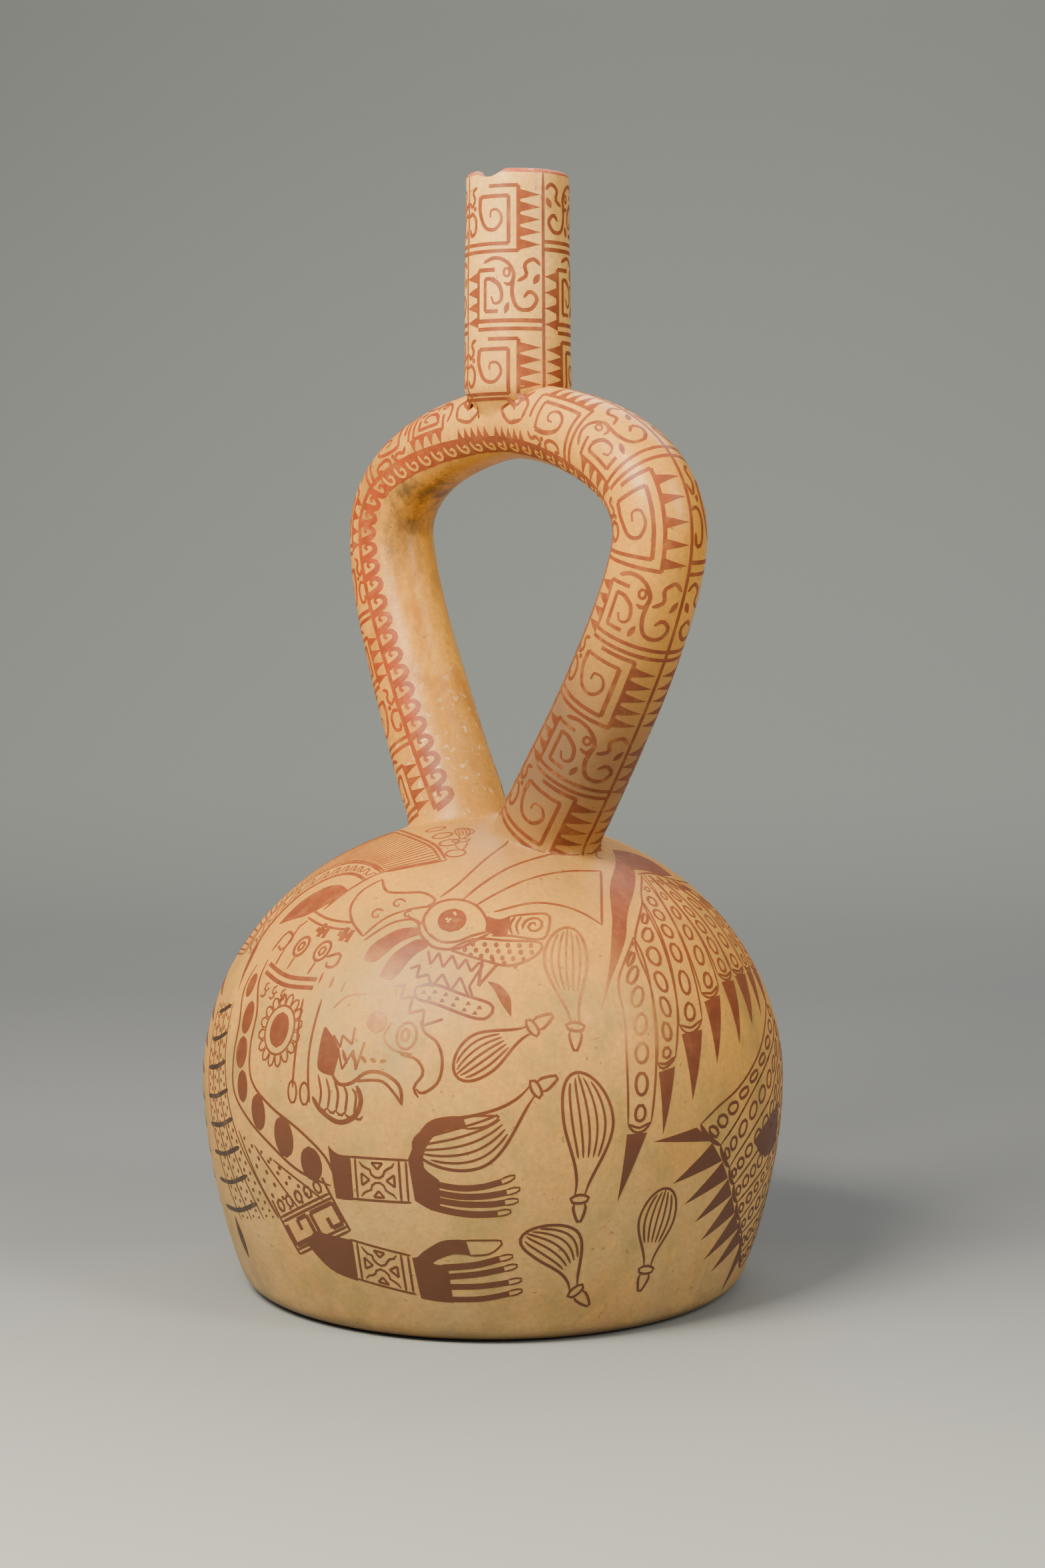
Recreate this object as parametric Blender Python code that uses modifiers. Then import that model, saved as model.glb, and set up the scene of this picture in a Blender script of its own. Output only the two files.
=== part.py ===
"""A hollow stirrup spout vessel of painted earthenware, modelled in metres with +Z up.

The origin is the centre of the base. The stirrup stands in the XZ plane and its near leg is at +X.
The chamber, both legs, the arch and the spout are one fired piece with open bores through all of them.
"""

import math

import bmesh
import bpy
from mathutils import Vector

# Chamber
CHAMBER_HEIGHT = 0.1235
CHAMBER_RADIUS = 0.0769
WIDEST_HEIGHT = 0.055
FOOT_RADIUS = 0.0655
FOOT_ROUNDING = 0.0075
WALL_BULGE = 1.9
CHAMBER_WALL = 0.0050
FLOOR_THICKNESS = 0.0060

# Stirrup, as the centre line and the outer radius of its tube; a pull is the length of a curve's handle
STIRRUP_RISE = 0.1034
STIRRUP_HALF_WIDTH = 0.0541
ARCH_RISE = 0.0299
ARCH_TOP_PULL = 0.0128
ARCH_SIDE_PULL = 0.0223
LEG_SIDE_PULL = 0.0215
LEG_FOOT_PULL = 0.0080
LEG_HALF_SPREAD = 0.0136
LEG_SEAT_DEPTH = 0.0083
LEG_FOOT_SLOPE = math.radians(62.0)
ARCH_OFFSET = 0.0101
FOOT_OFFSET = 0.0035
FAR_ARM_LIFT = 0.0016
ARCH_TUBE_RADIUS = 0.0094
WIDEST_TUBE_RADIUS = 0.0115
FOOT_TUBE_RADIUS = 0.0140
STIRRUP_WALL = 0.0038

# Spout
SPOUT_RISE = 0.0631
SPOUT_RIM_RADIUS = 0.0132
SPOUT_ROOT_RADIUS = 0.0139
SPOUT_WALL = 0.0030
SPOUT_ROOT_BLEND = 0.0090
LIP_ROUNDING = 0.0012

# Uneven lip: one shallow dip, at an azimuth counted from -Y towards +X
LIP_DIP_AZIMUTH = math.radians(15.0)
LIP_DIP_DEPTH = 0.0021
LIP_DIP_RADIUS = 0.0060

# Fineness of the facets
CHAMBER_SEGMENTS = 64
CAVITY_SEGMENTS = 40
SPOUT_SEGMENTS = 32
DOME_STEPS = 14
WALL_STEPS = 7
ROUNDING_STEPS = 4
LIP_ROUNDING_STEPS = 3
LIP_DIP_SEGMENTS = 24
SPOUT_ROOT_STEPS = 5
TUBE_BEVEL_RESOLUTION = 8
BORE_BEVEL_RESOLUTION = 5
ARCH_STEPS = 10
LEG_STEPS = 10
MERGE_DISTANCE = 0.00001

# The cutters run this far past the face that they open
CUTTER_OVERRUN = 0.002


def clear_scene():
    for item in list(bpy.data.objects):
        bpy.data.objects.remove(item, do_unlink=True)


def new_collection(name):
    collection = bpy.data.collections.new(name)
    bpy.context.scene.collection.children.link(collection)
    return collection


def mark_as_helper(item):
    item.hide_render = True
    item.display_type = "WIRE"


def turned(name, profile, segments, collection):
    """Turn a profile of (radius, height) points, listed from the top down, about its own Z axis."""
    mesh = bpy.data.meshes.new(name)
    outline = bmesh.new()
    corners = [outline.verts.new((radius, 0.0, height)) for radius, height in profile]
    for upper, lower in zip(corners, corners[1:]):
        outline.edges.new((upper, lower))
    outline.to_mesh(mesh)
    outline.free()
    item = bpy.data.objects.new(name, mesh)
    collection.objects.link(item)
    screw = item.modifiers.new("turn", "SCREW")
    screw.steps = segments
    screw.render_steps = segments
    screw.use_merge_vertices = True
    screw.merge_threshold = MERGE_DISTANCE
    return item


def tube(name, points, radii, resolution, collection):
    """A round tube along a line of points, with its own radius at each, as a closed mesh."""
    curve = bpy.data.curves.new(name + "_line", "CURVE")
    curve.dimensions = "3D"
    curve.bevel_depth = 1.0
    curve.bevel_resolution = resolution
    curve.use_fill_caps = True
    spline = curve.splines.new("POLY")
    spline.points.add(len(points) - 1)
    for spot, point, radius in zip(spline.points, points, radii):
        spot.co = (*point, 1.0)
        spot.radius = radius
    line = bpy.data.objects.new(name + "_line", curve)
    collection.objects.link(line)
    bpy.context.view_layer.update()
    evaluated = line.evaluated_get(bpy.context.evaluated_depsgraph_get())
    mesh = bpy.data.meshes.new_from_object(evaluated)
    mesh.name = name
    body = bmesh.new()
    body.from_mesh(mesh)
    bmesh.ops.remove_doubles(body, verts=body.verts, dist=MERGE_DISTANCE)
    bmesh.ops.recalc_face_normals(body, faces=body.faces)
    body.to_mesh(mesh)
    body.free()
    item = bpy.data.objects.new(name, mesh)
    item.matrix_world = line.matrix_world
    collection.objects.link(item)
    bpy.data.objects.remove(line, do_unlink=True)
    return item


def add_boolean(item, other, operation):
    boolean = item.modifiers.new(f"{operation.lower()} {other.name}", "BOOLEAN")
    boolean.operation = operation
    boolean.solver = "EXACT"
    boolean.object = other


def wall_radius(height):
    """Outer radius of the lower wall, which draws in towards the foot."""
    below_widest = max(0.0, 1 - height / WIDEST_HEIGHT)
    return CHAMBER_RADIUS - (CHAMBER_RADIUS - FOOT_RADIUS) * below_widest**WALL_BULGE


def wall_lean(height):
    """How far the lower wall leans in from the vertical, as an angle."""
    step = WIDEST_HEIGHT / 1000
    return math.atan((wall_radius(height + step) - wall_radius(height)) / step)


def dome_height(radius):
    """Height of the dome's outer face at a distance from the chamber's axis."""
    return WIDEST_HEIGHT + (CHAMBER_HEIGHT - WIDEST_HEIGHT) * math.sqrt(1 - (radius / CHAMBER_RADIUS) ** 2)


def chamber_profile(wall, floor):
    """Half outline of the chamber, inset by a wall, from the middle of the dome to the middle of the foot."""
    dome_rise = CHAMBER_HEIGHT - WIDEST_HEIGHT - wall
    profile = [(0.0, WIDEST_HEIGHT + dome_rise)]
    for step in range(1, DOME_STEPS + 1):
        turn = math.pi / 2 * (1 - step / DOME_STEPS)
        profile.append(((CHAMBER_RADIUS - wall) * math.cos(turn), WIDEST_HEIGHT + dome_rise * math.sin(turn)))
    lean = wall_lean(floor)
    rounding_top = floor + FOOT_ROUNDING * (1 - math.sin(lean))
    for step in range(1, WALL_STEPS + 1):
        height = WIDEST_HEIGHT + (rounding_top - WIDEST_HEIGHT) * step / WALL_STEPS
        profile.append((wall_radius(height) - wall, height))
    centre_radius = profile[-1][0] - FOOT_ROUNDING * math.cos(lean)
    for step in range(1, ROUNDING_STEPS + 1):
        turn = lean + (math.pi / 2 - lean) * step / ROUNDING_STEPS
        radius = centre_radius + FOOT_ROUNDING * math.cos(turn)
        profile.append((radius, floor + FOOT_ROUNDING * (1 - math.sin(turn))))
    profile.append((0.0, floor))
    return profile


def bezier(start, start_handle, end_handle, end, steps):
    """Points along a cubic curve, without its start."""
    points = []
    for step in range(1, steps + 1):
        t = step / steps
        near_start = (1 - t) ** 3 * start + 3 * (1 - t) ** 2 * t * start_handle
        points.append(near_start + 3 * (1 - t) * t**2 * end_handle + t**3 * end)
    return points


def half_stirrup(side):
    """Centre line from the middle of the arch down one side, -1 for the far leg and 1 for the near one."""
    arch_top = CHAMBER_HEIGHT + STIRRUP_RISE
    across = Vector((side, 0.0, 0.0))
    up = Vector((0.0, 0.0, 1.0))
    top = Vector((ARCH_OFFSET, 0.0, arch_top))
    lift = FAR_ARM_LIFT if side < 0 else 0.0
    widest = top + STIRRUP_HALF_WIDTH * across - (ARCH_RISE - lift) * up
    foot_x = FOOT_OFFSET + side * LEG_HALF_SPREAD
    foot = Vector((foot_x, 0.0, dome_height(foot_x) - LEG_SEAT_DEPTH))
    foot_direction = math.cos(LEG_FOOT_SLOPE) * across + math.sin(LEG_FOOT_SLOPE) * up
    line = [top]
    line += bezier(top, top + ARCH_TOP_PULL * across, widest + ARCH_SIDE_PULL * up, widest, ARCH_STEPS)
    foot_handle = foot + LEG_FOOT_PULL * foot_direction
    line += bezier(widest, widest - LEG_SIDE_PULL * up, foot_handle, foot, LEG_STEPS)
    return line


def tube_radius(index):
    """Outer radius along one half of the stirrup: slim at the arch, full at the foot."""
    if index <= ARCH_STEPS:
        share = index / ARCH_STEPS
        ease = share * share * (3 - 2 * share)
        return ARCH_TUBE_RADIUS + (WIDEST_TUBE_RADIUS - ARCH_TUBE_RADIUS) * ease
    share = (index - ARCH_STEPS) / LEG_STEPS
    return WIDEST_TUBE_RADIUS + (FOOT_TUBE_RADIUS - WIDEST_TUBE_RADIUS) * share


def stirrup_line():
    """Points and outer radii of the whole stirrup, from the far foot over the arch to the near foot."""
    far = half_stirrup(-1)
    near = half_stirrup(1)
    radii = [tube_radius(index) for index in range(len(near))]
    return far[:0:-1] + near, radii[:0:-1] + radii


def with_run_on(points, distance):
    """The same line, run on in its own direction at both ends."""
    first = points[0] + (points[0] - points[1]).normalized() * distance
    last = points[-1] + (points[-1] - points[-2]).normalized() * distance
    return [first, *points, last]


def spout_profile():
    """Half outline of the spout: a rounded lip, a slightly flared wall and a root drawn into the arch."""
    profile = [(0.0, SPOUT_RISE)]
    for step in range(LIP_ROUNDING_STEPS + 1):
        turn = math.pi / 2 * (1 - step / LIP_ROUNDING_STEPS)
        radius = SPOUT_RIM_RADIUS - LIP_ROUNDING * (1 - math.cos(turn))
        profile.append((radius, SPOUT_RISE - LIP_ROUNDING * (1 - math.sin(turn))))
    for step in range(SPOUT_ROOT_STEPS + 1):
        share = step / SPOUT_ROOT_STEPS
        ease = share * share * (3 - 2 * share)
        radius = SPOUT_ROOT_RADIUS + (ARCH_TUBE_RADIUS - SPOUT_ROOT_RADIUS) * ease
        profile.append((radius, SPOUT_ROOT_BLEND * (1 - share)))
    profile.append((0.0, 0.0))
    return profile


def spout_bore_profile():
    root_radius = ARCH_TUBE_RADIUS - STIRRUP_WALL
    return [
        (0.0, SPOUT_RISE + CUTTER_OVERRUN),
        (SPOUT_RIM_RADIUS - SPOUT_WALL, SPOUT_RISE + CUTTER_OVERRUN),
        (SPOUT_ROOT_RADIUS - SPOUT_WALL, SPOUT_ROOT_BLEND),
        (root_radius, 0.0),
        (0.0, 0.0),
    ]


def lip_dip(place, collection):
    """A round bar laid across the lip, whose underside presses the dip into it."""
    mesh = bpy.data.meshes.new("lip_dip")
    bar = bmesh.new()
    reach = SPOUT_ROOT_RADIUS + CUTTER_OVERRUN
    bmesh.ops.create_cone(
        bar,
        cap_ends=True,
        segments=LIP_DIP_SEGMENTS,
        radius1=LIP_DIP_RADIUS,
        radius2=LIP_DIP_RADIUS,
        depth=reach,
    )
    bar.to_mesh(mesh)
    bar.free()
    item = bpy.data.objects.new("lip_dip", mesh)
    collection.objects.link(item)
    outward = Vector((math.sin(LIP_DIP_AZIMUTH), -math.cos(LIP_DIP_AZIMUTH), 0.0))
    height = SPOUT_RISE + LIP_DIP_RADIUS - LIP_DIP_DEPTH
    item.rotation_euler = outward.to_track_quat("Z", "Y").to_euler()
    item.location = place + outward * reach / 2 + Vector((0.0, 0.0, height))
    return item


def fired_clay():
    material = bpy.data.materials.new("slipped earthenware")
    material.use_nodes = True
    shader = material.node_tree.nodes["Principled BSDF"]
    shader.inputs["Base Color"].default_value = (0.47, 0.28, 0.13, 1.0)
    shader.inputs["Roughness"].default_value = 0.42
    shader.inputs["Metallic"].default_value = 0.0
    return material


def build():
    clear_scene()
    parts = new_collection("stirrup spout vessel")
    helpers = new_collection("shapes and cutters")

    vessel = turned("vessel", chamber_profile(0.0, 0.0), CHAMBER_SEGMENTS, parts)
    points, radii = stirrup_line()
    spout_at = Vector((ARCH_OFFSET, 0.0, CHAMBER_HEIGHT + STIRRUP_RISE))

    stirrup = tube("stirrup", points, radii, TUBE_BEVEL_RESOLUTION, helpers)
    spout = turned("spout", spout_profile(), SPOUT_SEGMENTS, helpers)
    spout.location = spout_at

    cavity = turned("cavity", chamber_profile(CHAMBER_WALL, FLOOR_THICKNESS), CAVITY_SEGMENTS, helpers)
    bore_radii = [radius - STIRRUP_WALL for radius in (radii[0], *radii, radii[-1])]
    bore_line = with_run_on(points, CHAMBER_WALL + CUTTER_OVERRUN)
    bore = tube("stirrup_bore", bore_line, bore_radii, BORE_BEVEL_RESOLUTION, helpers)
    spout_bore = turned("spout_bore", spout_bore_profile(), SPOUT_SEGMENTS, helpers)
    spout_bore.location = spout_at
    dip = lip_dip(spout_at, helpers)

    for shape in (stirrup, spout):
        mark_as_helper(shape)
        add_boolean(vessel, shape, "UNION")
    for cutter in (cavity, bore, spout_bore, dip):
        mark_as_helper(cutter)
        add_boolean(vessel, cutter, "DIFFERENCE")

    vessel.data.materials.append(fired_clay())


build()
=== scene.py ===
"""The looks of a stirrup spout vessel: fired earthenware under burnished cream slip, painted in red-brown slip.

The bottle is one piece with its bores open from the mouth to the chamber. Its painting is laid on the clay as
thin marks of slip, each drawn in millimetres on the wall, the stirrup or the spout that carries it.
"""

import bisect
import math
import random

import bmesh
import bpy
from bpy.props import FloatProperty, FloatVectorProperty, PointerProperty
from bpy.types import Operator, Panel, PropertyGroup
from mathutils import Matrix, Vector, noise
from mathutils.bvhtree import BVHTree


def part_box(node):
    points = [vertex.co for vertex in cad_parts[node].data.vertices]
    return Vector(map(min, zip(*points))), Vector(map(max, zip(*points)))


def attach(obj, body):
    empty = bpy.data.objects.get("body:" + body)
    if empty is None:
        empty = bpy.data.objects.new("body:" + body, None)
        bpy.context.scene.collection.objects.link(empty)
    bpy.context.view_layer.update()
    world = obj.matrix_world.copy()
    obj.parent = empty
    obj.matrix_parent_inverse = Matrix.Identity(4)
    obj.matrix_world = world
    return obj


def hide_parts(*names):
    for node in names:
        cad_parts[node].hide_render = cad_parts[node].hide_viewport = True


bl_info = {
    "name": "Stirrup Spout Vessel",
    "version": (1, 0, 0),
    "blender": (4, 5, 0),
    "location": "View3D > Sidebar > Vessel",
    "description": "A hollow painted bottle with a stirrup spout, and its stage",
    "category": "Add Mesh",
}

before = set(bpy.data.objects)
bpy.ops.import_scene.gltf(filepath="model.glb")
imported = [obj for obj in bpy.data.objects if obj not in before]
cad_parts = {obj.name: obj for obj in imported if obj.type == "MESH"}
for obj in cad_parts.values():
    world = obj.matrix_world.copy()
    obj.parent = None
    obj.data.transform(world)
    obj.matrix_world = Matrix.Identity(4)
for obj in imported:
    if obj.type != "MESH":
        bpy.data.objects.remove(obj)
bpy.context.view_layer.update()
CAD_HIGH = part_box("vessel")[1]

BODY = "root"
MM = 0.001
# The painted front, as an angle from -Y towards +X
FRONT = math.radians(50.0)
# Red slip lies lowest, dark slip over it and pale slip on top
LIFTS = {"red": 0.06 * MM, "dark": 0.085 * MM, "pale": 0.11 * MM}
SLIP_THICKNESS = 0.14 * MM


def to_linear(code):
    """A sRGB hex colour as linear red, green, blue and alpha."""
    channels = [int(code[place : place + 2], 16) / 255 for place in (1, 3, 5)]
    return (*[c / 12.92 if c <= 0.04045 else ((c + 0.055) / 1.055) ** 2.4 for c in channels], 1.0)


def length(name, description, default):
    return FloatProperty(
        name=name, description=description, default=default, unit="LENGTH", subtype="DISTANCE", precision=4
    )


def colour(name, description, code):
    return FloatVectorProperty(
        name=name, description=description, default=to_linear(code), subtype="COLOR", size=4, min=0.0, max=1.0
    )


class VesselShape(PropertyGroup):
    """Sizes of the clay. The overall width and height come from the frame."""

    chamber_height: length("Chamber height", "Top of the dome above the base", 0.1235)
    widest_height: length("Widest height", "Where the chamber is widest", 0.055)
    foot_radius: length("Foot radius", "Radius that the lower wall draws in to", 0.0655)
    foot_rounding: length("Foot rounding", "Radius of the rounded edge under the wall", 0.0075)
    chamber_wall: length("Chamber wall", "Thickness of the chamber's clay", 0.0050)
    floor: length("Floor", "Thickness of the chamber's floor", 0.0060)
    stirrup_rise: length("Stirrup rise", "Middle of the arch's tube above the dome", 0.1034)
    stirrup_half_width: length("Stirrup half width", "Widest part of the stirrup from its middle", 0.0541)
    arch_radius: length("Arch tube radius", "Radius of the tube at the top of the arch", 0.0094)
    widest_radius: length("Widest tube radius", "Radius of the tube where the stirrup is widest", 0.0115)
    leg_foot_radius: length("Leg foot radius", "Radius of the tube where a leg meets the dome", 0.0140)
    stirrup_wall: length("Stirrup wall", "Thickness of the tube's clay", 0.0038)
    spout_rim_radius: length("Spout rim radius", "Radius of the spout at its lip", 0.0132)
    spout_root_radius: length("Spout root radius", "Radius of the spout above the arch", 0.0139)
    spout_wall: length("Spout wall", "Thickness of the spout's clay", 0.0030)
    unevenness: length("Unevenness", "How far the hand-smoothed clay strays", 0.00022)
    fillet_reach: length("Fillet reach", "How far the clay is smoothed round a leg's foot", 0.0034)


class VesselPainting(PropertyGroup):
    """Sizes and colours of the painting."""

    line: length("Line", "Width of the painter's usual line", 0.00070)
    wave_pitch: length("Wave pitch", "Spacing of the running scrolls along the stirrup", 0.0053)
    cream: colour("Cream slip", "Burnished ground of the upper vessel", "#e6a33a")
    # The tan is partly painted shade on the lower chamber
    tan: colour("Tan slip", "Duller ground of the lower chamber", "#b89a68")
    # Orange paint above and brown paint below are partly painted shade on the lower chamber
    orange: colour("Orange paint", "Red slip where it fired bright", "#964d2b")
    brown: colour("Brown paint", "Red slip where it fired dull", "#5f3d2c")
    dark: colour("Dark paint", "Black-brown strokes", "#3a2c24")
    lip: colour("Lip paint", "Orange-red band round the mouth", "#bf5c35")
    clay: colour("Bare clay", "Unslipped clay inside and underneath", "#9c7450")


class VesselStage(PropertyGroup):
    """The camera, the lights and what the vessel stands on."""

    camera_distance: length("Camera distance", "Camera to the chamber's axis, level", 0.70)
    camera_height: length("Camera height", "Camera above the base", 0.1862)
    camera_shift: length("Camera shift", "Camera moved to the right of the front", 0.00776)
    camera_pitch: FloatProperty(
        name="Camera pitch", description="Downward tilt", default=math.radians(4.41), subtype="ANGLE"
    )
    lens: FloatProperty(name="Lens", description="Focal length on a 36 mm tall frame, in mm", default=60.86)
    # Floor, far floor and backdrop are one sheet of paper; their tones are painted shade
    floor: colour("Floor", "Pale paper under the vessel", "#adb2ae")
    backdrop: colour("Backdrop", "Grey paper behind the vessel", "#979d9b")
    shade: colour("Far floor", "The paper's dimmer stretch behind the vessel", "#82868a")


# Shapes of the clay. The stirrup stands in the XZ plane and its near leg is at +X.
WALL_BULGE = 1.9
ARCH_RISE = 0.0299
ARCH_TOP_PULL = 0.0128
ARCH_SIDE_PULL = 0.0223
LEG_SIDE_PULL = 0.0215
LEG_FOOT_PULL = 0.0080
LEG_HALF_SPREAD = 0.0136
LEG_SEAT_DEPTH = 0.0083
LEG_FOOT_SLOPE = math.radians(62.0)
ARCH_OFFSET = 0.0101
FOOT_OFFSET = 0.0035
FAR_ARM_LIFT = 0.0016
SPOUT_ROOT_BLEND = 0.0090
LIP_ROUNDING = 0.0012
LIP_PAINT_WIDTH = 0.0015
LIP_DIP_AZIMUTH = math.radians(15.0)
LIP_DIP_DEPTH = 0.0021
LIP_DIP_RADIUS = 0.0060
# How far a cutter runs past what it cuts, and how near two corners merge
OVERRUN = 0.002
MERGE = 0.00001
HALF_LINE_STEPS = 60
FOOT_SMOOTHING_ROUNDS = 12
CLAY_CREASE = math.radians(50)
SLIP_CREASE = math.radians(40)
# The flat base is bare below this height
BARE_BASE = 0.3 * MM
# Spacing of the marks' faces along a stroke and across it, and the longest edge that a mark may have
STROKE_STEP = 1.3 * MM
ROW_WIDTH = 1.5 * MM
LONGEST_STEP = 7.0 * MM
# A mark never thins out to nothing
THINNEST = 0.04
# Millimetres between the eyes down a feather
EYE_PITCH = 5.8
# Fields of frets down each strip of the stirrup: how many, and in millimetres where the first starts, how far
# the last ends from the dome, the gap between two, and how far one radian goes round the tube
FIELDS = 7
FIRST_FIELD = 15.5
FOOT_GAP = 9.5
FIELD_GAP = 0.9
RADIAN = 11.0
# Millimetres down each side over which the scrolls lie on a filled ground
FILLED_TO = {-1: 46.0, 1: 52.0}
# A fruit's body starts at this share of its length
FRUIT_BODY = 0.62
# The paper lies flat for 9 m in front, starts to curve behind the vessel and stands up as the backdrop
PAPER_REACH = 9.0
PAPER_BEND = -0.7
PAPER_CURVE = 0.6
PAPER_TOP = 3.0
FRONT_WAY = Vector((math.sin(FRONT), -math.cos(FRONT), 0.0))
RIGHT_WAY = Vector((math.cos(FRONT), math.sin(FRONT), 0.0))
UP = Vector((0.0, 0.0, 1.0))
# Millimetres down each side of the stirrup, and the angle there from its outer midline to the painted border
BORDER_TURNS = {
    -1: ((0.0, 118.0), (24.0, 106.0), (52.0, 91.0), (85.0, 97.0), (150.0, 116.0)),
    1: ((0.0, 118.0), (50.0, 124.0), (150.0, 126.0)),
}


def smoothstep(share):
    share = min(max(share, 0.0), 1.0)
    return share * share * (3 - 2 * share)


def wall_radius(shape, height):
    below_widest = max(0.0, 1 - height / shape.widest_height)
    return CAD_HIGH.x - (CAD_HIGH.x - shape.foot_radius) * below_widest**WALL_BULGE


def wall_outline(shape, wall, floor, steps):
    """Half outline of the chamber, inset by a wall, from the middle of the dome to the middle of the foot."""
    dome_rise = shape.chamber_height - shape.widest_height - wall
    outline = []
    for step in range(steps + 1):
        turn = math.pi / 2 * (1 - step / steps)
        radius = (CAD_HIGH.x - wall) * math.cos(turn) if step else 0.0
        outline.append(Vector((radius, 0.0, shape.widest_height + dome_rise * math.sin(turn))))
    small = shape.widest_height / 1000
    lean = math.atan((wall_radius(shape, floor + small) - wall_radius(shape, floor)) / small)
    rounding_top = floor + shape.foot_rounding * (1 - math.sin(lean))
    for step in range(1, steps // 2 + 1):
        height = shape.widest_height + (rounding_top - shape.widest_height) * step / (steps // 2)
        outline.append(Vector((wall_radius(shape, height) - wall, 0.0, height)))
    centre = outline[-1].x - shape.foot_rounding * math.cos(lean)
    for step in range(1, steps // 8 + 1):
        turn = lean + (math.pi / 2 - lean) * step / (steps // 8)
        height = floor + shape.foot_rounding * (1 - math.sin(turn))
        outline.append(Vector((centre + shape.foot_rounding * math.cos(turn), 0.0, height)))
    outline.append(Vector((0.0, 0.0, floor)))
    return outline


def dome_height(shape, radius):
    rise = shape.chamber_height - shape.widest_height
    return shape.widest_height + rise * math.sqrt(1 - (radius / CAD_HIGH.x) ** 2)


def arch_height(shape):
    """Height of the middle of the tube at the top of the arch."""
    return shape.chamber_height + shape.stirrup_rise


def bezier(start, start_handle, end_handle, end, steps):
    points = []
    for step in range(1, steps + 1):
        t = step / steps
        near_start = (1 - t) ** 3 * start + 3 * (1 - t) ** 2 * t * start_handle
        points.append(near_start + 3 * (1 - t) * t**2 * end_handle + t**3 * end)
    return points


def half_stirrup(shape, side):
    """Centre line and tube radii from the middle of the arch down one side: -1 is the far leg, 1 the near."""
    across = Vector((side, 0.0, 0.0))
    top = Vector((ARCH_OFFSET, 0.0, arch_height(shape)))
    lift = FAR_ARM_LIFT if side < 0 else 0.0
    widest = top + shape.stirrup_half_width * across - (ARCH_RISE - lift) * UP
    foot_x = FOOT_OFFSET + side * LEG_HALF_SPREAD
    foot = Vector((foot_x, 0.0, dome_height(shape, foot_x) - LEG_SEAT_DEPTH))
    foot_direction = math.cos(LEG_FOOT_SLOPE) * across + math.sin(LEG_FOOT_SLOPE) * UP
    steps = HALF_LINE_STEPS
    line = [top]
    line += bezier(top, top + ARCH_TOP_PULL * across, widest + ARCH_SIDE_PULL * UP, widest, steps)
    line += bezier(widest, widest - LEG_SIDE_PULL * UP, foot + LEG_FOOT_PULL * foot_direction, foot, steps)
    radii = []
    for index in range(len(line)):
        if index <= steps:
            swell = smoothstep(index / steps)
            radii.append(shape.arch_radius + (shape.widest_radius - shape.arch_radius) * swell)
        else:
            share = (index - steps) / steps
            radii.append(shape.widest_radius + (shape.leg_foot_radius - shape.widest_radius) * share)
    return line, radii


def spout_outline(shape):
    """Half outline of the spout above the middle of the arch's tube."""
    rise = CAD_HIGH.z - arch_height(shape)
    outline = [Vector((0.0, 0.0, rise))]
    for step in range(7):
        turn = math.pi / 2 * (1 - step / 6)
        radius = shape.spout_rim_radius - LIP_ROUNDING * (1 - math.cos(turn))
        outline.append(Vector((radius, 0.0, rise - LIP_ROUNDING * (1 - math.sin(turn)))))
    for step in range(1, 41):
        share = step / 40
        radius = shape.spout_rim_radius + (shape.spout_root_radius - shape.spout_rim_radius) * share
        outline.append(
            Vector((radius, 0.0, rise - LIP_ROUNDING + (SPOUT_ROOT_BLEND - rise + LIP_ROUNDING) * share))
        )
    for step in range(1, 11):
        ease = smoothstep(step / 10)
        radius = shape.spout_root_radius + (shape.arch_radius - shape.spout_root_radius) * ease
        outline.append(Vector((radius, 0.0, SPOUT_ROOT_BLEND * (1 - step / 10))))
    outline.append(Vector((0.0, 0.0, 0.0)))
    return outline


def spout_bore_outline(shape):
    rise = CAD_HIGH.z - arch_height(shape)
    rim = shape.spout_rim_radius - shape.spout_wall
    root = shape.spout_root_radius - shape.spout_wall
    outline = [Vector((0.0, 0.0, rise + OVERRUN)), Vector((rim, 0.0, rise + OVERRUN))]
    for step in range(31):
        share = step / 30
        outline.append(Vector((rim + (root - rim) * share, 0.0, rise + (SPOUT_ROOT_BLEND - rise) * share)))
    outline.append(Vector((shape.arch_radius - shape.stirrup_wall, 0.0, 0.0)))
    outline.append(Vector((0.0, 0.0, 0.0)))
    return outline


def turned(name, outline, segments, material):
    """A closed solid turned about Z from a half outline that starts and ends on the axis."""
    body = bmesh.new()
    corners = [body.verts.new(point) for point in outline]
    edges = [body.edges.new(pair) for pair in zip(corners, corners[1:])]
    bmesh.ops.spin(
        body,
        geom=corners + edges,
        cent=(0.0, 0.0, 0.0),
        axis=(0.0, 0.0, 1.0),
        angle=math.tau,
        steps=segments,
        use_merge=True,
    )
    bmesh.ops.remove_doubles(body, verts=body.verts, dist=MERGE)
    bmesh.ops.recalc_face_normals(body, faces=body.faces)
    return finished(name, body, [material])


def finished(name, body, materials):
    """Make an object in the scene from a bmesh, and free the bmesh."""
    mesh = bpy.data.meshes.new(name)
    body.to_mesh(mesh)
    body.free()
    for material in materials:
        mesh.materials.append(material)
    item = bpy.data.objects.new(name, mesh)
    bpy.context.scene.collection.objects.link(item)
    return item


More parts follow.
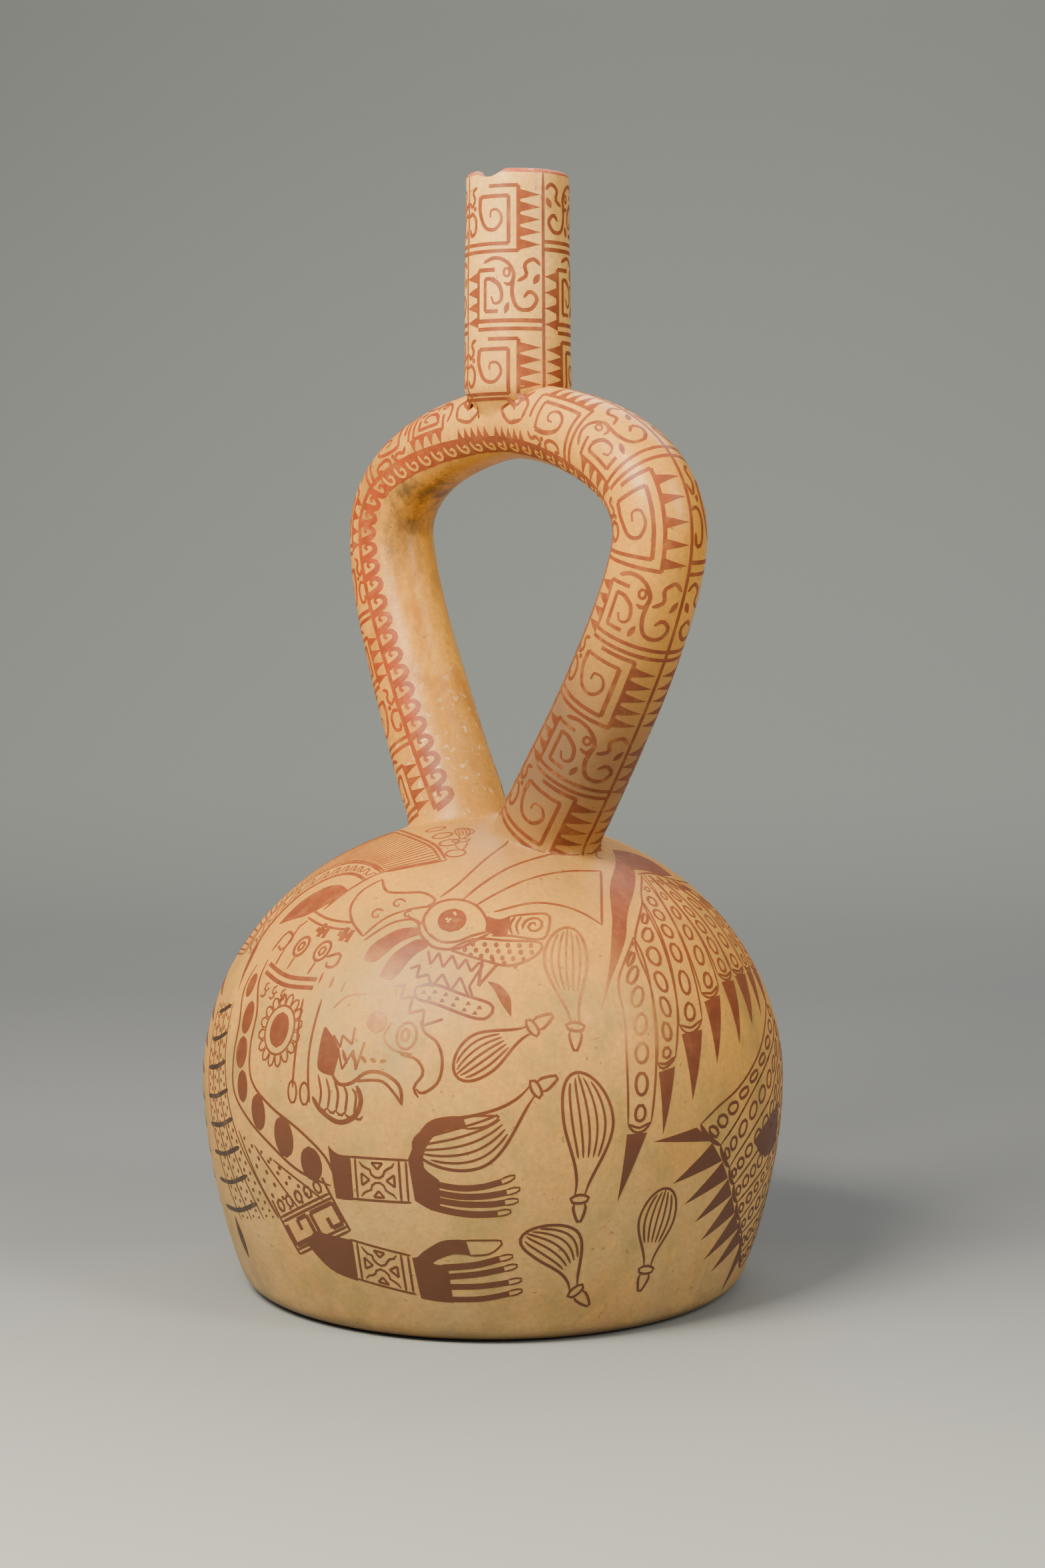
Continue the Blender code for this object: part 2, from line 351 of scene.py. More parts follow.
def tube(name, points, radii, resolution, material):
    """A closed round tube along a line of points, with its own radius at each."""
    curve = bpy.data.curves.new(name + "_line", "CURVE")
    curve.dimensions = "3D"
    curve.bevel_depth = 1.0
    curve.bevel_resolution = resolution
    curve.use_fill_caps = True
    spline = curve.splines.new("POLY")
    spline.points.add(len(points) - 1)
    for spot, point, radius in zip(spline.points, points, radii):
        spot.co = (*point, 1.0)
        spot.radius = radius
    line = bpy.data.objects.new(name + "_line", curve)
    bpy.context.scene.collection.objects.link(line)
    bpy.context.view_layer.update()
    mesh = bpy.data.meshes.new_from_object(line.evaluated_get(bpy.context.evaluated_depsgraph_get()))
    body = bmesh.new()
    body.from_mesh(mesh)
    bpy.data.meshes.remove(mesh)
    bpy.data.objects.remove(line, do_unlink=True)
    bmesh.ops.remove_doubles(body, verts=body.verts, dist=MERGE)
    bmesh.ops.recalc_face_normals(body, faces=body.faces)
    return finished(name, body, [material])


def cut_or_join(item, others, operation):
    for other in others:
        boolean = item.modifiers.new(f"{operation.lower()} {other.name}", "BOOLEAN")
        boolean.operation = operation
        boolean.solver = "EXACT"
        boolean.material_mode = "TRANSFER"
        boolean.object = other


def fired_body(shape, slip, clay, lip):
    """The whole bottle as one mesh: chamber, stirrup and spout joined, then bored from mouth to chamber."""
    far, far_radii = half_stirrup(shape, -1)
    near, near_radii = half_stirrup(shape, 1)
    points = far[:0:-1] + near
    radii = far_radii[:0:-1] + near_radii
    spout_at = near[0]

    chamber = turned("chamber", wall_outline(shape, 0.0, 0.0, 64), 224, slip)
    stirrup = tube("stirrup", points, radii, 34, slip)
    spout = turned("spout", spout_outline(shape), 96, slip)
    spout.location = spout_at
    cavity = turned("cavity", wall_outline(shape, shape.chamber_wall, shape.floor, 32), 72, clay)
    run_on = shape.chamber_wall + OVERRUN
    first = points[0] + (points[0] - points[1]).normalized() * run_on
    last = points[-1] + (points[-1] - points[-2]).normalized() * run_on
    bore_points = [first, *points[::2], last]
    bore_radii = [radius - shape.stirrup_wall for radius in (radii[0], *radii[::2], radii[-1])]
    bore = tube("bore", bore_points, bore_radii, 10, clay)
    spout_bore = turned("spout_bore", spout_bore_outline(shape), 96, clay)
    spout_bore.location = spout_at
    dip = lip_dip(shape, spout_at, lip)

    cut_or_join(chamber, (stirrup, spout), "UNION")
    cut_or_join(chamber, (cavity, bore, spout_bore, dip), "DIFFERENCE")
    bpy.context.view_layer.update()
    evaluated = chamber.evaluated_get(bpy.context.evaluated_depsgraph_get())
    mesh = bpy.data.meshes.new_from_object(evaluated)
    for item in (chamber, stirrup, spout, cavity, bore, spout_bore, dip):
        bpy.data.objects.remove(item, do_unlink=True)
    return mesh


def lip_dip(shape, place, lip):
    """A round bar laid across the lip, whose underside presses the dip into it."""
    bar = bmesh.new()
    reach = shape.spout_root_radius + OVERRUN
    bmesh.ops.create_cone(
        bar, cap_ends=True, segments=48, radius1=LIP_DIP_RADIUS, radius2=LIP_DIP_RADIUS, depth=reach
    )
    item = finished("lip_dip", bar, [lip])
    outward = Vector((math.sin(LIP_DIP_AZIMUTH), -math.cos(LIP_DIP_AZIMUTH), 0.0))
    rise = CAD_HIGH.z - place.z
    item.rotation_euler = outward.to_track_quat("Z", "Y").to_euler()
    item.location = place + outward * reach / 2 + UP * (rise + LIP_DIP_RADIUS - LIP_DIP_DEPTH)
    return item


def distances(line):
    """How far along a line of places each of them is."""
    marks = [0.0]
    for start, end in zip(line, line[1:]):
        marks.append(marks[-1] + (end - start).length)
    return marks


class Wall:
    """The chamber's outer face, read by the distance down its outline from the middle of the dome."""

    def __init__(self, shape):
        self.outline = wall_outline(shape, 0.0, 0.0, 64)
        self.down = distances(self.outline)

    def at(self, down):
        down = min(max(down, 2 * MM), self.down[-2])
        index = min(bisect.bisect_right(self.down, down), len(self.down) - 1)
        share = (down - self.down[index - 1]) / (self.down[index] - self.down[index - 1])
        return self.outline[index - 1].lerp(self.outline[index], share)

    def spot(self, turn, down):
        edge = self.at(down)
        heading = FRONT + turn
        return Vector((edge.x * math.sin(heading), -edge.x * math.cos(heading), edge.z))

    def map(self):
        """A drawing in degrees right of the front and millimetres down the wall."""
        return lambda turn, down: self.spot(math.radians(turn), down * MM)

    def drawing(self, turn, down, tilt=0.0, size=1.0):
        """A drawing in millimetres, right and up, round a place on the wall."""
        cos_tilt = math.cos(math.radians(tilt))
        sin_tilt = math.sin(math.radians(tilt))

        def place(x, y):
            across = size * (x * cos_tilt - y * sin_tilt) * MM
            level = max(down * MM - size * (x * sin_tilt + y * cos_tilt) * MM, 3 * MM)
            return self.spot(math.radians(turn) + across / self.at(level).x, level)

        return place

    def between(self, left, right):
        """A drawing between two edges: -1 to 1 from the left one to the right one, and 0 to 1 along them."""
        edges = [curved(left), curved(right)]

        def edge(line, share):
            spot = min(max(share, 0.0), 1.0) * (len(line) - 1)
            index = min(int(spot), len(line) - 2)
            part = spot - index
            if share > 1.0:
                part += (share - 1.0) * (len(line) - 1)
            return [a + (b - a) * part for a, b in zip(line[index], line[index + 1])]

        def place(x, share):
            first, second = edge(edges[0], share), edge(edges[1], share)
            turn, down = [a + (b - a) * (x + 1) / 2 for a, b in zip(first, second)]
            return self.spot(math.radians(turn), down * MM)

        steps = [place(0.0, step / 12) for step in range(13)]
        reach = sum((b - a).length for a, b in zip(steps, steps[1:])) / MM
        return place, reach, (place(1.0, 1.0) - place(-1.0, 1.0)).length / MM


class StirrupLine:
    """The stirrup's tube, read by the distance down from the middle of the arch."""

    def __init__(self, shape):
        self.sides = {}
        for side in (-1, 1):
            points, radii = half_stirrup(shape, side)
            self.sides[side] = (points, radii, distances(points))

    def spot(self, side, down, roll):
        """Roll is the angle round the tube from its outer midline, positive towards -Y."""
        points, radii, marks = self.sides[side]
        down = min(max(down, 0.0), marks[-1])
        index = min(max(bisect.bisect_right(marks, down), 1), len(marks) - 1)
        share = (down - marks[index - 1]) / (marks[index] - marks[index - 1])
        along = (points[index] - points[index - 1]).normalized()
        outward = Vector((-along.z, 0.0, along.x)) * side
        radius = radii[index - 1] + (radii[index] - radii[index - 1]) * share
        centre = points[index - 1].lerp(points[index], share)
        return centre + radius * (math.cos(roll) * outward + math.sin(roll) * Vector((0.0, -1.0, 0.0)))

    def edge(self, side, down):
        """The angle from the outer midline to the painted border, at a distance in millimetres down."""
        marks = BORDER_TURNS[side]
        for (upper, first), (lower, second) in zip(marks, marks[1:]):
            if down <= lower:
                return math.radians(first + (second - first) * max(down - upper, 0.0) / (lower - upper))
        return math.radians(marks[-1][1])

    def strip(self, side, face, start, end):
        """A drawing on one strip: 0 at the border to 1 at the outer midline, and 0 to 1 down it."""

        def place(across, share):
            down = start + (end - start) * share
            return self.spot(side, down * MM, face * self.edge(side, down) * (1 - across))

        return place

    def border(self, side, face, start):
        """A drawing in millimetres down the tube and away from the strip's border."""
        return lambda x, y: self.spot(
            side, (start + x) * MM, face * (self.edge(side, start + x) + y / RADIAN)
        )


def spout_drawing(shape, turn, wide, bottom, top):
    """A drawing on the spout: 0 to 1 to the right over an angle, and 0 to 1 down between two heights."""
    base = arch_height(shape)

    def place(across, share):
        heading = FRONT + math.radians(turn + wide * across)
        height = base + (top + (bottom - top) * share) * MM
        radius = shape.spout_root_radius
        return Vector((ARCH_OFFSET + radius * math.sin(heading), -radius * math.cos(heading), height))

    return place


def curved(path, steps=8):
    """A smooth line through a drawing's points."""
    if len(path) < 3:
        return straight(path, steps)
    line = [path[0]]
    padded = [path[0], *path, path[-1]]
    for before, start, end, after in zip(padded, padded[1:], padded[2:], padded[3:]):
        for step in range(1, steps + 1):
            t = step / steps
            spot = []
            for a, b, c, d in zip(before, start, end, after):
                bend = (2 * a - 5 * b + 4 * c - d) * t + (3 * b - a - 3 * c + d) * t * t
                spot.append(b + t * ((c - a) + bend) / 2)
            line.append(tuple(spot))
    return line


def straight(path, steps=8):
    line = [path[0]]
    for start, end in zip(path, path[1:]):
        for step in range(1, steps + 1):
            t = step / steps
            line.append((start[0] + (end[0] - start[0]) * t, start[1] + (end[1] - start[1]) * t))
    return line


def lengthwise(across, steps):
    """A straight path down the whole length of a drawing that runs from 0 to 1."""
    return [(across, step / steps) for step in range(steps + 1)]


def breadth(form, share):
    """How broad a brush mark is along its length, as a share of its full width."""
    if form == "tooth":
        return max(1 - share, THINNEST)
    if form == "leaf":
        return max(math.sin(math.pi * share) ** 0.75, THINNEST)
    if form == "disc":
        return max(math.sqrt(max(0.0, 1 - (2 * share - 1) ** 2)), THINNEST)
    if form == "taper":
        return 1 - 0.62 * share
    if form == "band":
        return 1.0
    return min(1.0, 0.45 + 9 * share, 0.45 + 9 * (1 - share))


class Slip:
    """One colour of slip, laid on the clay mark by mark."""

    def __init__(self, clay, lift, line, step):
        self.clay = clay
        self.lift = lift
        self.line = line
        self.step = step
        self.marks = bmesh.new()
        self.hand = random.Random(7)

    def stroke(self, chart, path, width=None, form="line", smooth=True, across=None):
        """Lay one mark along a drawing's path. Its width is in millimetres."""
        fine = [chart(*spot) for spot in (curved(path) if smooth else straight(path))]
        marks = distances(fine)
        total = marks[-1]
        if total < 0.05 * MM:
            return
        wide = (width * MM if width else self.line) * self.hand.uniform(0.93, 1.07)
        least = {"disc": 12, "leaf": 9}.get(form, 3)
        count = max(least, math.ceil(total / self.step))
        rows = across or max(1, math.ceil(wide / ROW_WIDTH))
        centres = []
        index = 1
        for step in range(count + 1):
            mark = total * step / count
            while index < len(marks) - 1 and marks[index] < mark:
                index += 1
            span = max(marks[index] - marks[index - 1], 1e-9)
            centres.append(fine[index - 1].lerp(fine[index], (mark - marks[index - 1]) / span))
        sides = []
        for step, centre in enumerate(centres):
            along = centres[min(step + 1, count)] - centres[max(step - 1, 0)]
            normal = self.clay.find_nearest(centre)[1]
            sides.append(normal.cross(along).normalized())
        half = wide / 2
        self.sheet(
            count,
            rows,
            lambda step,
            y: centres[step] + sides[step] * half * y * breadth(form, step / count),
        )

    def sheet(self, count, rows, spot):
        """Lay a strip of faces on the clay by each step's place. A strip that jumps a gap is dropped."""
        strip = bmesh.ops.create_grid(self.marks, x_segments=count, y_segments=rows, size=1.0)
        for vert in strip["verts"]:
            place = spot(round((vert.co.x + 1) / 2 * count), vert.co.y)
            foot, normal = self.clay.find_nearest(place)[:2]
            vert.co = foot + normal * self.lift
        edges = {edge for vert in strip["verts"] for edge in vert.link_edges}
        if max(edge.calc_length() for edge in edges) > LONGEST_STEP:
            bmesh.ops.delete(self.marks, geom=strip["verts"], context="VERTS")

    def fill(self, chart, first, second):
        """Lay a solid patch between two edges of a drawing, drawn from the same end."""
        edges = [[chart(*spot) for spot in curved(path, 6)] for path in (first, second)]
        steps = max(len(edge) for edge in edges) - 1
        even = []
        for edge in edges:
            places = []
            for step in range(steps + 1):
                spot = step / steps * (len(edge) - 1)
                index = min(int(spot), len(edge) - 2)
                places.append(edge[index].lerp(edge[index + 1], spot - index))
            even.append(places)
        middle = steps // 2
        along = even[0][min(middle + 1, steps)] - even[0][middle - 1]
        normal = self.clay.find_nearest(even[0][middle])[1]
        if normal.cross(along).dot(even[1][middle] - even[0][middle]) < 0:
            even.reverse()
        gap = max((b - a).length for a, b in zip(*even))
        rows = max(1, math.ceil(gap / ROW_WIDTH))
        self.sheet(steps, rows, lambda step, y: even[0][step].lerp(even[1][step], (y + 1) / 2))

    def strokes(self, chart, width, *paths):
        """Smooth lines of one width, in turn."""
        for path in paths:
            self.stroke(chart, path, width)

    def angular(self, chart, path, width=None):
        """A line with sharp corners, as one stroke for each straight run."""
        for start, end in zip(path, path[1:]):
            self.stroke(chart, [start, end], width, "band", smooth=False)

    def disc(self, chart, x, y, wide, tall=None):
        tall = tall or wide
        self.stroke(chart, [(x, y - tall / 2), (x, y + tall / 2)], wide, "disc", smooth=False)

    def ring(self, chart, x, y, wide, tall=None, width=None, steps=12):
        tall = tall or wide
        turns = [math.tau * step / steps for step in range(steps + 1)]
        path = [(x + wide / 2 * math.sin(turn), y + tall / 2 * math.cos(turn)) for turn in turns]
        self.stroke(chart, path, width, "band")

    def spiral(self, chart, x, y, radius, start=0.0, turns=1.4, spin=1, stretch=1.0, width=None):
        """A curl that winds in to its middle. Start is in degrees from the right."""
        path = []
        steps = max(6, round(turns * 9))
        for step in range(steps + 1):
            share = step / steps
            turn = math.radians(start) + spin * math.tau * turns * share
            reach = radius * (1 - 0.82 * share)
            path.append((x + reach * math.cos(turn), y + stretch * reach * math.sin(turn)))
        self.stroke(chart, path, width)

    def teeth(self, chart, start, end, rise, count, width):
        """A row of pointed teeth between two points, rising by an offset in the drawing."""
        for index in range(count):
            share = (index + 0.5) / count
            x = start[0] + (end[0] - start[0]) * share
            y = start[1] + (end[1] - start[1]) * share
            self.stroke(chart, [(x, y), (x + rise[0], y + rise[1])], width, "tooth", smooth=False)

    def piece(self, name, material):
        """Give the marks their thickness and make them one object."""
        bmesh.ops.remove_doubles(self.marks, verts=self.marks.verts, dist=MERGE / 2)
        walls = bmesh.ops.extrude_face_region(self.marks, geom=self.marks.faces[:], use_keep_orig=True)
        for part in walls["geom"]:
            if isinstance(part, bmesh.types.BMVert):
                foot, normal = self.clay.find_nearest(part.co)[:2]
                part.co = foot + normal * (self.lift - SLIP_THICKNESS)
        bmesh.ops.recalc_face_normals(self.marks, faces=self.marks.faces)
        for face in self.marks.faces:
            face.smooth = True
        for edge in self.marks.edges:
            if edge.calc_face_angle(math.pi) > SLIP_CREASE:
                edge.smooth = False
        item = finished(name, self.marks, [material])
        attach(item, BODY)
        return item


class Slips:
    """The three colours of slip for one part of the painting."""

    def __init__(self, painting, step=STROKE_STEP):
        clay = clay_surface()
        self.red = Slip(clay, LIFTS["red"], painting.line, step)
        self.dark = Slip(clay, LIFTS["dark"], painting.line, step)
        self.pale = Slip(clay, LIFTS["pale"], painting.line, step)

    def pieces(self, name, painting):
        makers = (("red", self.red, red_slip), ("dark", self.dark, dark_slip), ("pale", self.pale, pale_slip))
        for tone, slip, maker in makers:
            if slip.marks.faces:
                slip.piece(f"{name}_{tone}_slip", maker(painting))
            else:
                slip.marks.free()


def clay_surface():
    """The finished clay's surface, for the slips to lie on."""
    body = bmesh.new()
    body.from_mesh(bpy.data.objects["vessel_clay"].data)
    surface = BVHTree.FromBMesh(body)
    body.free()
    return surface


# Materials


def put(tree, kind, settings=None, links=None):
    """Add a node. Settings name its properties or sockets, and links lead to its sockets."""
    node = tree.nodes.new(kind)
    for name, value in (settings or {}).items():
        if isinstance(name, str) and hasattr(node, name):
            setattr(node, name, value)
        else:
            node.inputs[name].default_value = value
    for name, source in (links or {}).items():
        tree.links.new(source, node.inputs[name])
    return node


def new_material(name):
    """A material, its nodes, its shader and the place on the object. Only the first if it was made before."""
    material = bpy.data.materials.get(name)
    if material:
        return material, None, None, None
    material = bpy.data.materials.new(name)
    material.use_nodes = True
    tree = material.node_tree
    place = put(tree, "ShaderNodeTexCoord").outputs["Object"]
    return material, tree, tree.nodes["Principled BSDF"], place


def ramp(tree, source, low, high, start=0.0, end=1.0):
    """Turn a stretch of values into 0 to 1, or start to end."""
    node = put(
        tree,
        "ShaderNodeMapRange",
        {"From Min": low, "From Max": high, "To Min": start, "To Max": end},
        {"Value": source},
    )
    return node.outputs["Result"]


def patches(tree, place, grain_mm, detail=3.0, roughness=0.55, stretch=None):
    """Cloudy patches about one grain across."""
    source = place
    if stretch:
        source = put(tree, "ShaderNodeMapping", {"Scale": stretch}, {"Vector": place}).outputs["Vector"]
    cloud = put(
        tree,
        "ShaderNodeTexNoise",
        {"Scale": 1 / (grain_mm * MM), "Detail": detail, "Roughness": roughness},
        {"Vector": source},
    )
    return cloud.outputs["Fac"]


def mottle(tree, place, low, high, *cloud):
    """A mask of cloudy patches, empty below one value of the cloud and full above the other."""
    return ramp(tree, patches(tree, place, *cloud), low, high)


def blend(tree, factor, first, second):
    """Mix two colours, each a value or an output."""
    settings = {"data_type": "RGBA"}
    links = {0: factor}
    for socket, tone in ((6, first), (7, second)):
        if isinstance(tone, bpy.types.NodeSocket):
            links[socket] = tone
        else:
            settings[socket] = tuple(tone)
    return put(tree, "ShaderNodeMix", settings, links).outputs[2]


def times(tree, first, second):
    node = put(tree, "ShaderNodeMath", {"operation": "MULTIPLY"}, {0: first})
    if isinstance(second, bpy.types.NodeSocket):
        tree.links.new(second, node.inputs[1])
    else:
        node.inputs[1].default_value = second
    return node.outputs[0]


def tint(tree, tone, mask, strength, code):
    """Lay a colour over a tone where a mask lets it through."""
    return blend(tree, times(tree, mask, strength), tone, to_linear(code))


def nearness(tree, place, centre, reach):
    """1 at a point, falling to 0 at a distance from it."""
    far = put(tree, "ShaderNodeVectorMath", {"operation": "DISTANCE", 1: centre}, {0: place})
    return ramp(tree, far.outputs["Value"], reach * 0.25, reach, 1.0, 0.0)


def ground_tone(tree, place, painting):
    """Cream slip, warm and bright above, duller and greyer below in part as painted shade, cloudy all over."""
    height = put(tree, "ShaderNodeSeparateXYZ", {}, {"Vector": place}).outputs["Z"]
    # Tan below and cream above by height: painted shade on the lower chamber, partly the slip's own duller tone
    rise = ramp(tree, height, 0.018, 0.100)
    tone = blend(tree, rise, painting.tan, painting.cream)
    # Lighter towards the spout: painted light on the top of the bottle, partly also its paler slip
    tone = blend(tree, ramp(tree, height, 0.215, 0.262), tone, to_linear("#fbc56c"))
    clouds = mottle(tree, place, 0.36, 0.66, 26.0)
    tone = tint(tree, tone, clouds, 0.46, "#cc8a34")
    low = ramp(tree, height, 0.130, 0.080)
    smudges = mottle(tree, place, 0.46, 0.66, 12.0, 5.0, 0.66, (1.0, 1.0, 0.6))
    tone = tint(tree, tone, times(tree, smudges, low), 0.62, "#8f844e")
    worn = mottle(tree, place, 0.56, 0.70, 6.0, 5.0, 0.65)
    tone = tint(tree, tone, worn, 0.30, "#ecb250")
    grain = mottle(tree, place, 0.38, 0.66, 1.2, 3.0, 0.65)
    return tint(tree, tone, grain, 0.30, "#9c6c2e"), height


def cream_slip(painting):
    """Fine cream slip rubbed with a pebble: soft gloss, rubbing streaks and dull worn patches."""
    material, tree, shader, place = new_material("burnished cream slip")
    if tree is None:
        return material
    tone, height = ground_tone(tree, place, painting)

    # Brown stain and soot under the arch, ochre streaks down the far leg, a smoked lower near leg
    arch_stain = nearness(tree, place, (-0.026, -0.004, 0.205), 0.030)
    streaks = mottle(tree, place, 0.44, 0.60, 9.0, 5.0, 0.7, (1.0, 1.0, 0.45))
    tone = tint(tree, tone, times(tree, arch_stain, streaks), 0.85, "#6b5236")
    leg_stain = nearness(tree, place, (-0.024, 0.0, 0.165), 0.048)
    ochre = mottle(tree, place, 0.46, 0.62, 6.5, 4.0, 0.65, (1.0, 1.0, 0.35))
    tone = tint(tree, tone, times(tree, leg_stain, ochre), 0.70, "#b4742a")
    near_stain = nearness(tree, place, (0.032, -0.006, 0.146), 0.052)
    tone = tint(tree, tone, near_stain, 0.94, "#705844")

    # Grey-green smudges on the shoulder, dirt, rubbing and painted shade at the foot, flakes on the far leg
    shoulder = nearness(tree, place, (0.030, -0.070, 0.078), 0.034)
    smudges = mottle(tree, place, 0.42, 0.62, 9.0, 4.0, 0.6)
    tone = tint(tree, tone, times(tree, shoulder, smudges), 0.45, "#a89c68")
    wall = Wall(bpy.context.scene.vessel_shape)
    snout = nearness(tree, place, tuple(wall.spot(math.radians(-24.0), 70.0 * MM)), 0.030)
    tone = tint(tree, tone, snout, 0.55, "#a07f3c")
    foot = ramp(tree, height, 0.020, 0.001)
    scuffs = mottle(tree, place, 0.38, 0.64, 8.0, 5.0, 0.7)
    tone = tint(tree, tone, times(tree, foot, scuffs), 0.55, "#7f6650")
    # Painted shade: a dark band on the lowest few millimetres, where the rounded foot turns under towards the
    # floor
    rim = ramp(tree, height, 0.0035, 0.0008)
    tone = tint(tree, tone, rim, 0.75, "#5a4636")
    specks = mottle(tree, place, 0.735, 0.77, 1.7, 1.0, 0.5)
    tone = tint(tree, tone, specks, 0.55, "#6a5236")
    leg_flakes = nearness(tree, place, (-0.012, -0.006, 0.140), 0.034)
    aside = put(
        tree, "ShaderNodeMapping", {"Location": (0.31, 0.17, 0.23)}, {"Vector": place}
    ).outputs["Vector"]
    flakes = mottle(tree, aside, 0.60, 0.66, 2.2, 3.0, 0.6)
    tone = tint(tree, tone, times(tree, leg_flakes, flakes), 0.40, "#f1dfba")
    tree.links.new(tone, shader.inputs["Base Color"])

    gloss = patches(tree, place, 14.0, 4.0, 0.6)
    polish = ramp(tree, height, 0.10, 0.19, 0.42, 0.25)
    rough = put(tree, "ShaderNodeMath", {}, {0: polish, 1: ramp(tree, gloss, 0.30, 0.72, 0.0, 0.15)})
    tree.links.new(rough.outputs[0], shader.inputs["Roughness"])
    add_tooling(tree, shader, place, 0.45)
    shader.inputs["Specular IOR Level"].default_value = 0.34
    return material


def add_tooling(tree, shader, place, strength):
    """Fine relief of a hand-smoothed, low-fired surface: shallow waves and grain."""
    waves = patches(tree, place, 5.0, 3.0)
    grain = patches(tree, place, 0.8, 3.0)
    sum_of = put(tree, "ShaderNodeMath", {"operation": "MULTIPLY_ADD", 1: 0.16}, {0: grain, 2: waves})
    bump = put(
        tree, "ShaderNodeBump", {"Strength": strength, "Distance": 0.00035}, {"Height": sum_of.outputs[0]}
    )
    tree.links.new(bump.outputs["Normal"], shader.inputs["Normal"])


def red_slip(painting):
    """Iron-rich slip brushed on thin: orange-red on the stirrup, browner below in part as painted shade, patchy
    where it wore.
    """
    material, tree, shader, place = new_material("red iron slip")
    if tree is None:
        return material
    height = put(tree, "ShaderNodeSeparateXYZ", {}, {"Vector": place}).outputs["Z"]
    # Browner towards the bottom: partly the paint's duller firing, partly painted shade on the lower chamber
    rise = ramp(tree, height, 0.045, 0.110)
    tone = blend(tree, rise, painting.brown, painting.orange)
    # Painted light: brighter orange paint on the far leg above the dome, the side that faces the lamps
    far = put(tree, "ShaderNodeSeparateXYZ", {}, {"Vector": place}).outputs["X"]
    bright = times(tree, ramp(tree, far, 0.0, -0.025), ramp(tree, height, 0.125, 0.150))
    tone = blend(tree, bright, tone, to_linear("#a8471f"))
    near_stain = nearness(tree, place, (0.034, -0.006, 0.146), 0.050)
    tone = tint(tree, tone, near_stain, 0.85, "#643a24")
    pools = mottle(tree, place, 0.38, 0.66, 3.2, 3.0)
    tone = tint(tree, tone, pools, 0.35, "#5f3423")
    thin = mottle(tree, place, 0.50, 0.70, 4.5, 5.0, 0.68)
    tone = tint(tree, tone, times(tree, thin, rise), 0.34, "#c08447")

    # Rubbed almost away round one fruit, the bird's head and the longest feather, and paled there too as
    # painted highlight
    wall = Wall(bpy.context.scene.vessel_shape)
    for turn, down, reach in (
        (17.0, 76.0, 0.020), (-20.0, 90.0, 0.014), (28.5, 90.0, 0.013), (-27.0, 80.0, 0.013)
    ):
        # Each spot is partly wear and partly painted highlight where the chamber's sheen falls
        rubbed = nearness(tree, place, tuple(wall.spot(math.radians(turn), down * MM)), reach)
        mask = ramp(tree, patches(tree, place, 2.4, 4.0, 0.7), 0.30, 0.62, 0.30, 0.75)
        tone = blend(tree, times(tree, rubbed, mask), tone, to_linear("#cf9048"))
    tree.links.new(tone, shader.inputs["Base Color"])
    tree.links.new(ramp(tree, patches(tree, place, 9.0), 0.30, 0.70, 0.36, 0.52), shader.inputs["Roughness"])
    shader.inputs["Specular IOR Level"].default_value = 0.28
    add_tooling(tree, shader, place, 0.35)
    return material


def dark_slip(painting):
    """Black-brown organic paint, matt and a little thin."""
    material, tree, shader, place = new_material("dark brown slip")
    if tree is None:
        return material
    thin = mottle(tree, place, 0.46, 0.72, 3.5, 5.0, 0.68)
    tree.links.new(tint(tree, painting.dark, thin, 0.5, "#7a5a40"), shader.inputs["Base Color"])
    shader.inputs["Roughness"].default_value = 0.55
    add_tooling(tree, shader, place, 0.35)
    return material


def pale_slip(painting):
    """Cream slip laid over the red, and the pale ground that shows where paint has flaked off."""
    material, tree, shader, place = new_material("pale cream slip")
    if tree is None:
        return material
    tone, _ = ground_tone(tree, place, painting)
    tree.links.new(tone, shader.inputs["Base Color"])
    shader.inputs["Roughness"].default_value = 0.45
    add_tooling(tree, shader, place, 0.35)
    return material


def lip_slip(painting):
    """Orange-red slip round the mouth, rubbed through on the edge."""
    material, tree, shader, place = new_material("orange lip slip")
    if tree is None:
        return material
    thin = mottle(tree, place, 0.50, 0.66, 2.2, 4.0, 0.7)
    tree.links.new(tint(tree, painting.lip, thin, 0.6, "#dba878"), shader.inputs["Base Color"])
    shader.inputs["Roughness"].default_value = 0.45
    return material


def bare_clay(painting):
    """Unslipped low-fired clay with fine sand: dry, rough, mottled by the fire and by handling."""
    material, tree, shader, place = new_material("bare fired clay")
    if tree is None:
        return material
    clouds = mottle(tree, place, 0.35, 0.68, 16.0, 4.0)
    tone = blend(tree, clouds, painting.clay, to_linear("#7d5c40"))
    sand = mottle(tree, place, 0.45, 0.70, 1.0, 2.0)
    tone = tint(tree, tone, sand, 0.4, "#b8936a")
    tree.links.new(tone, shader.inputs["Base Color"])
    shader.inputs["Roughness"].default_value = 0.85
    add_tooling(tree, shader, place, 0.8)
    return material


# Motifs of the painting. Each is drawn in a chart of its own and has no fixed place.


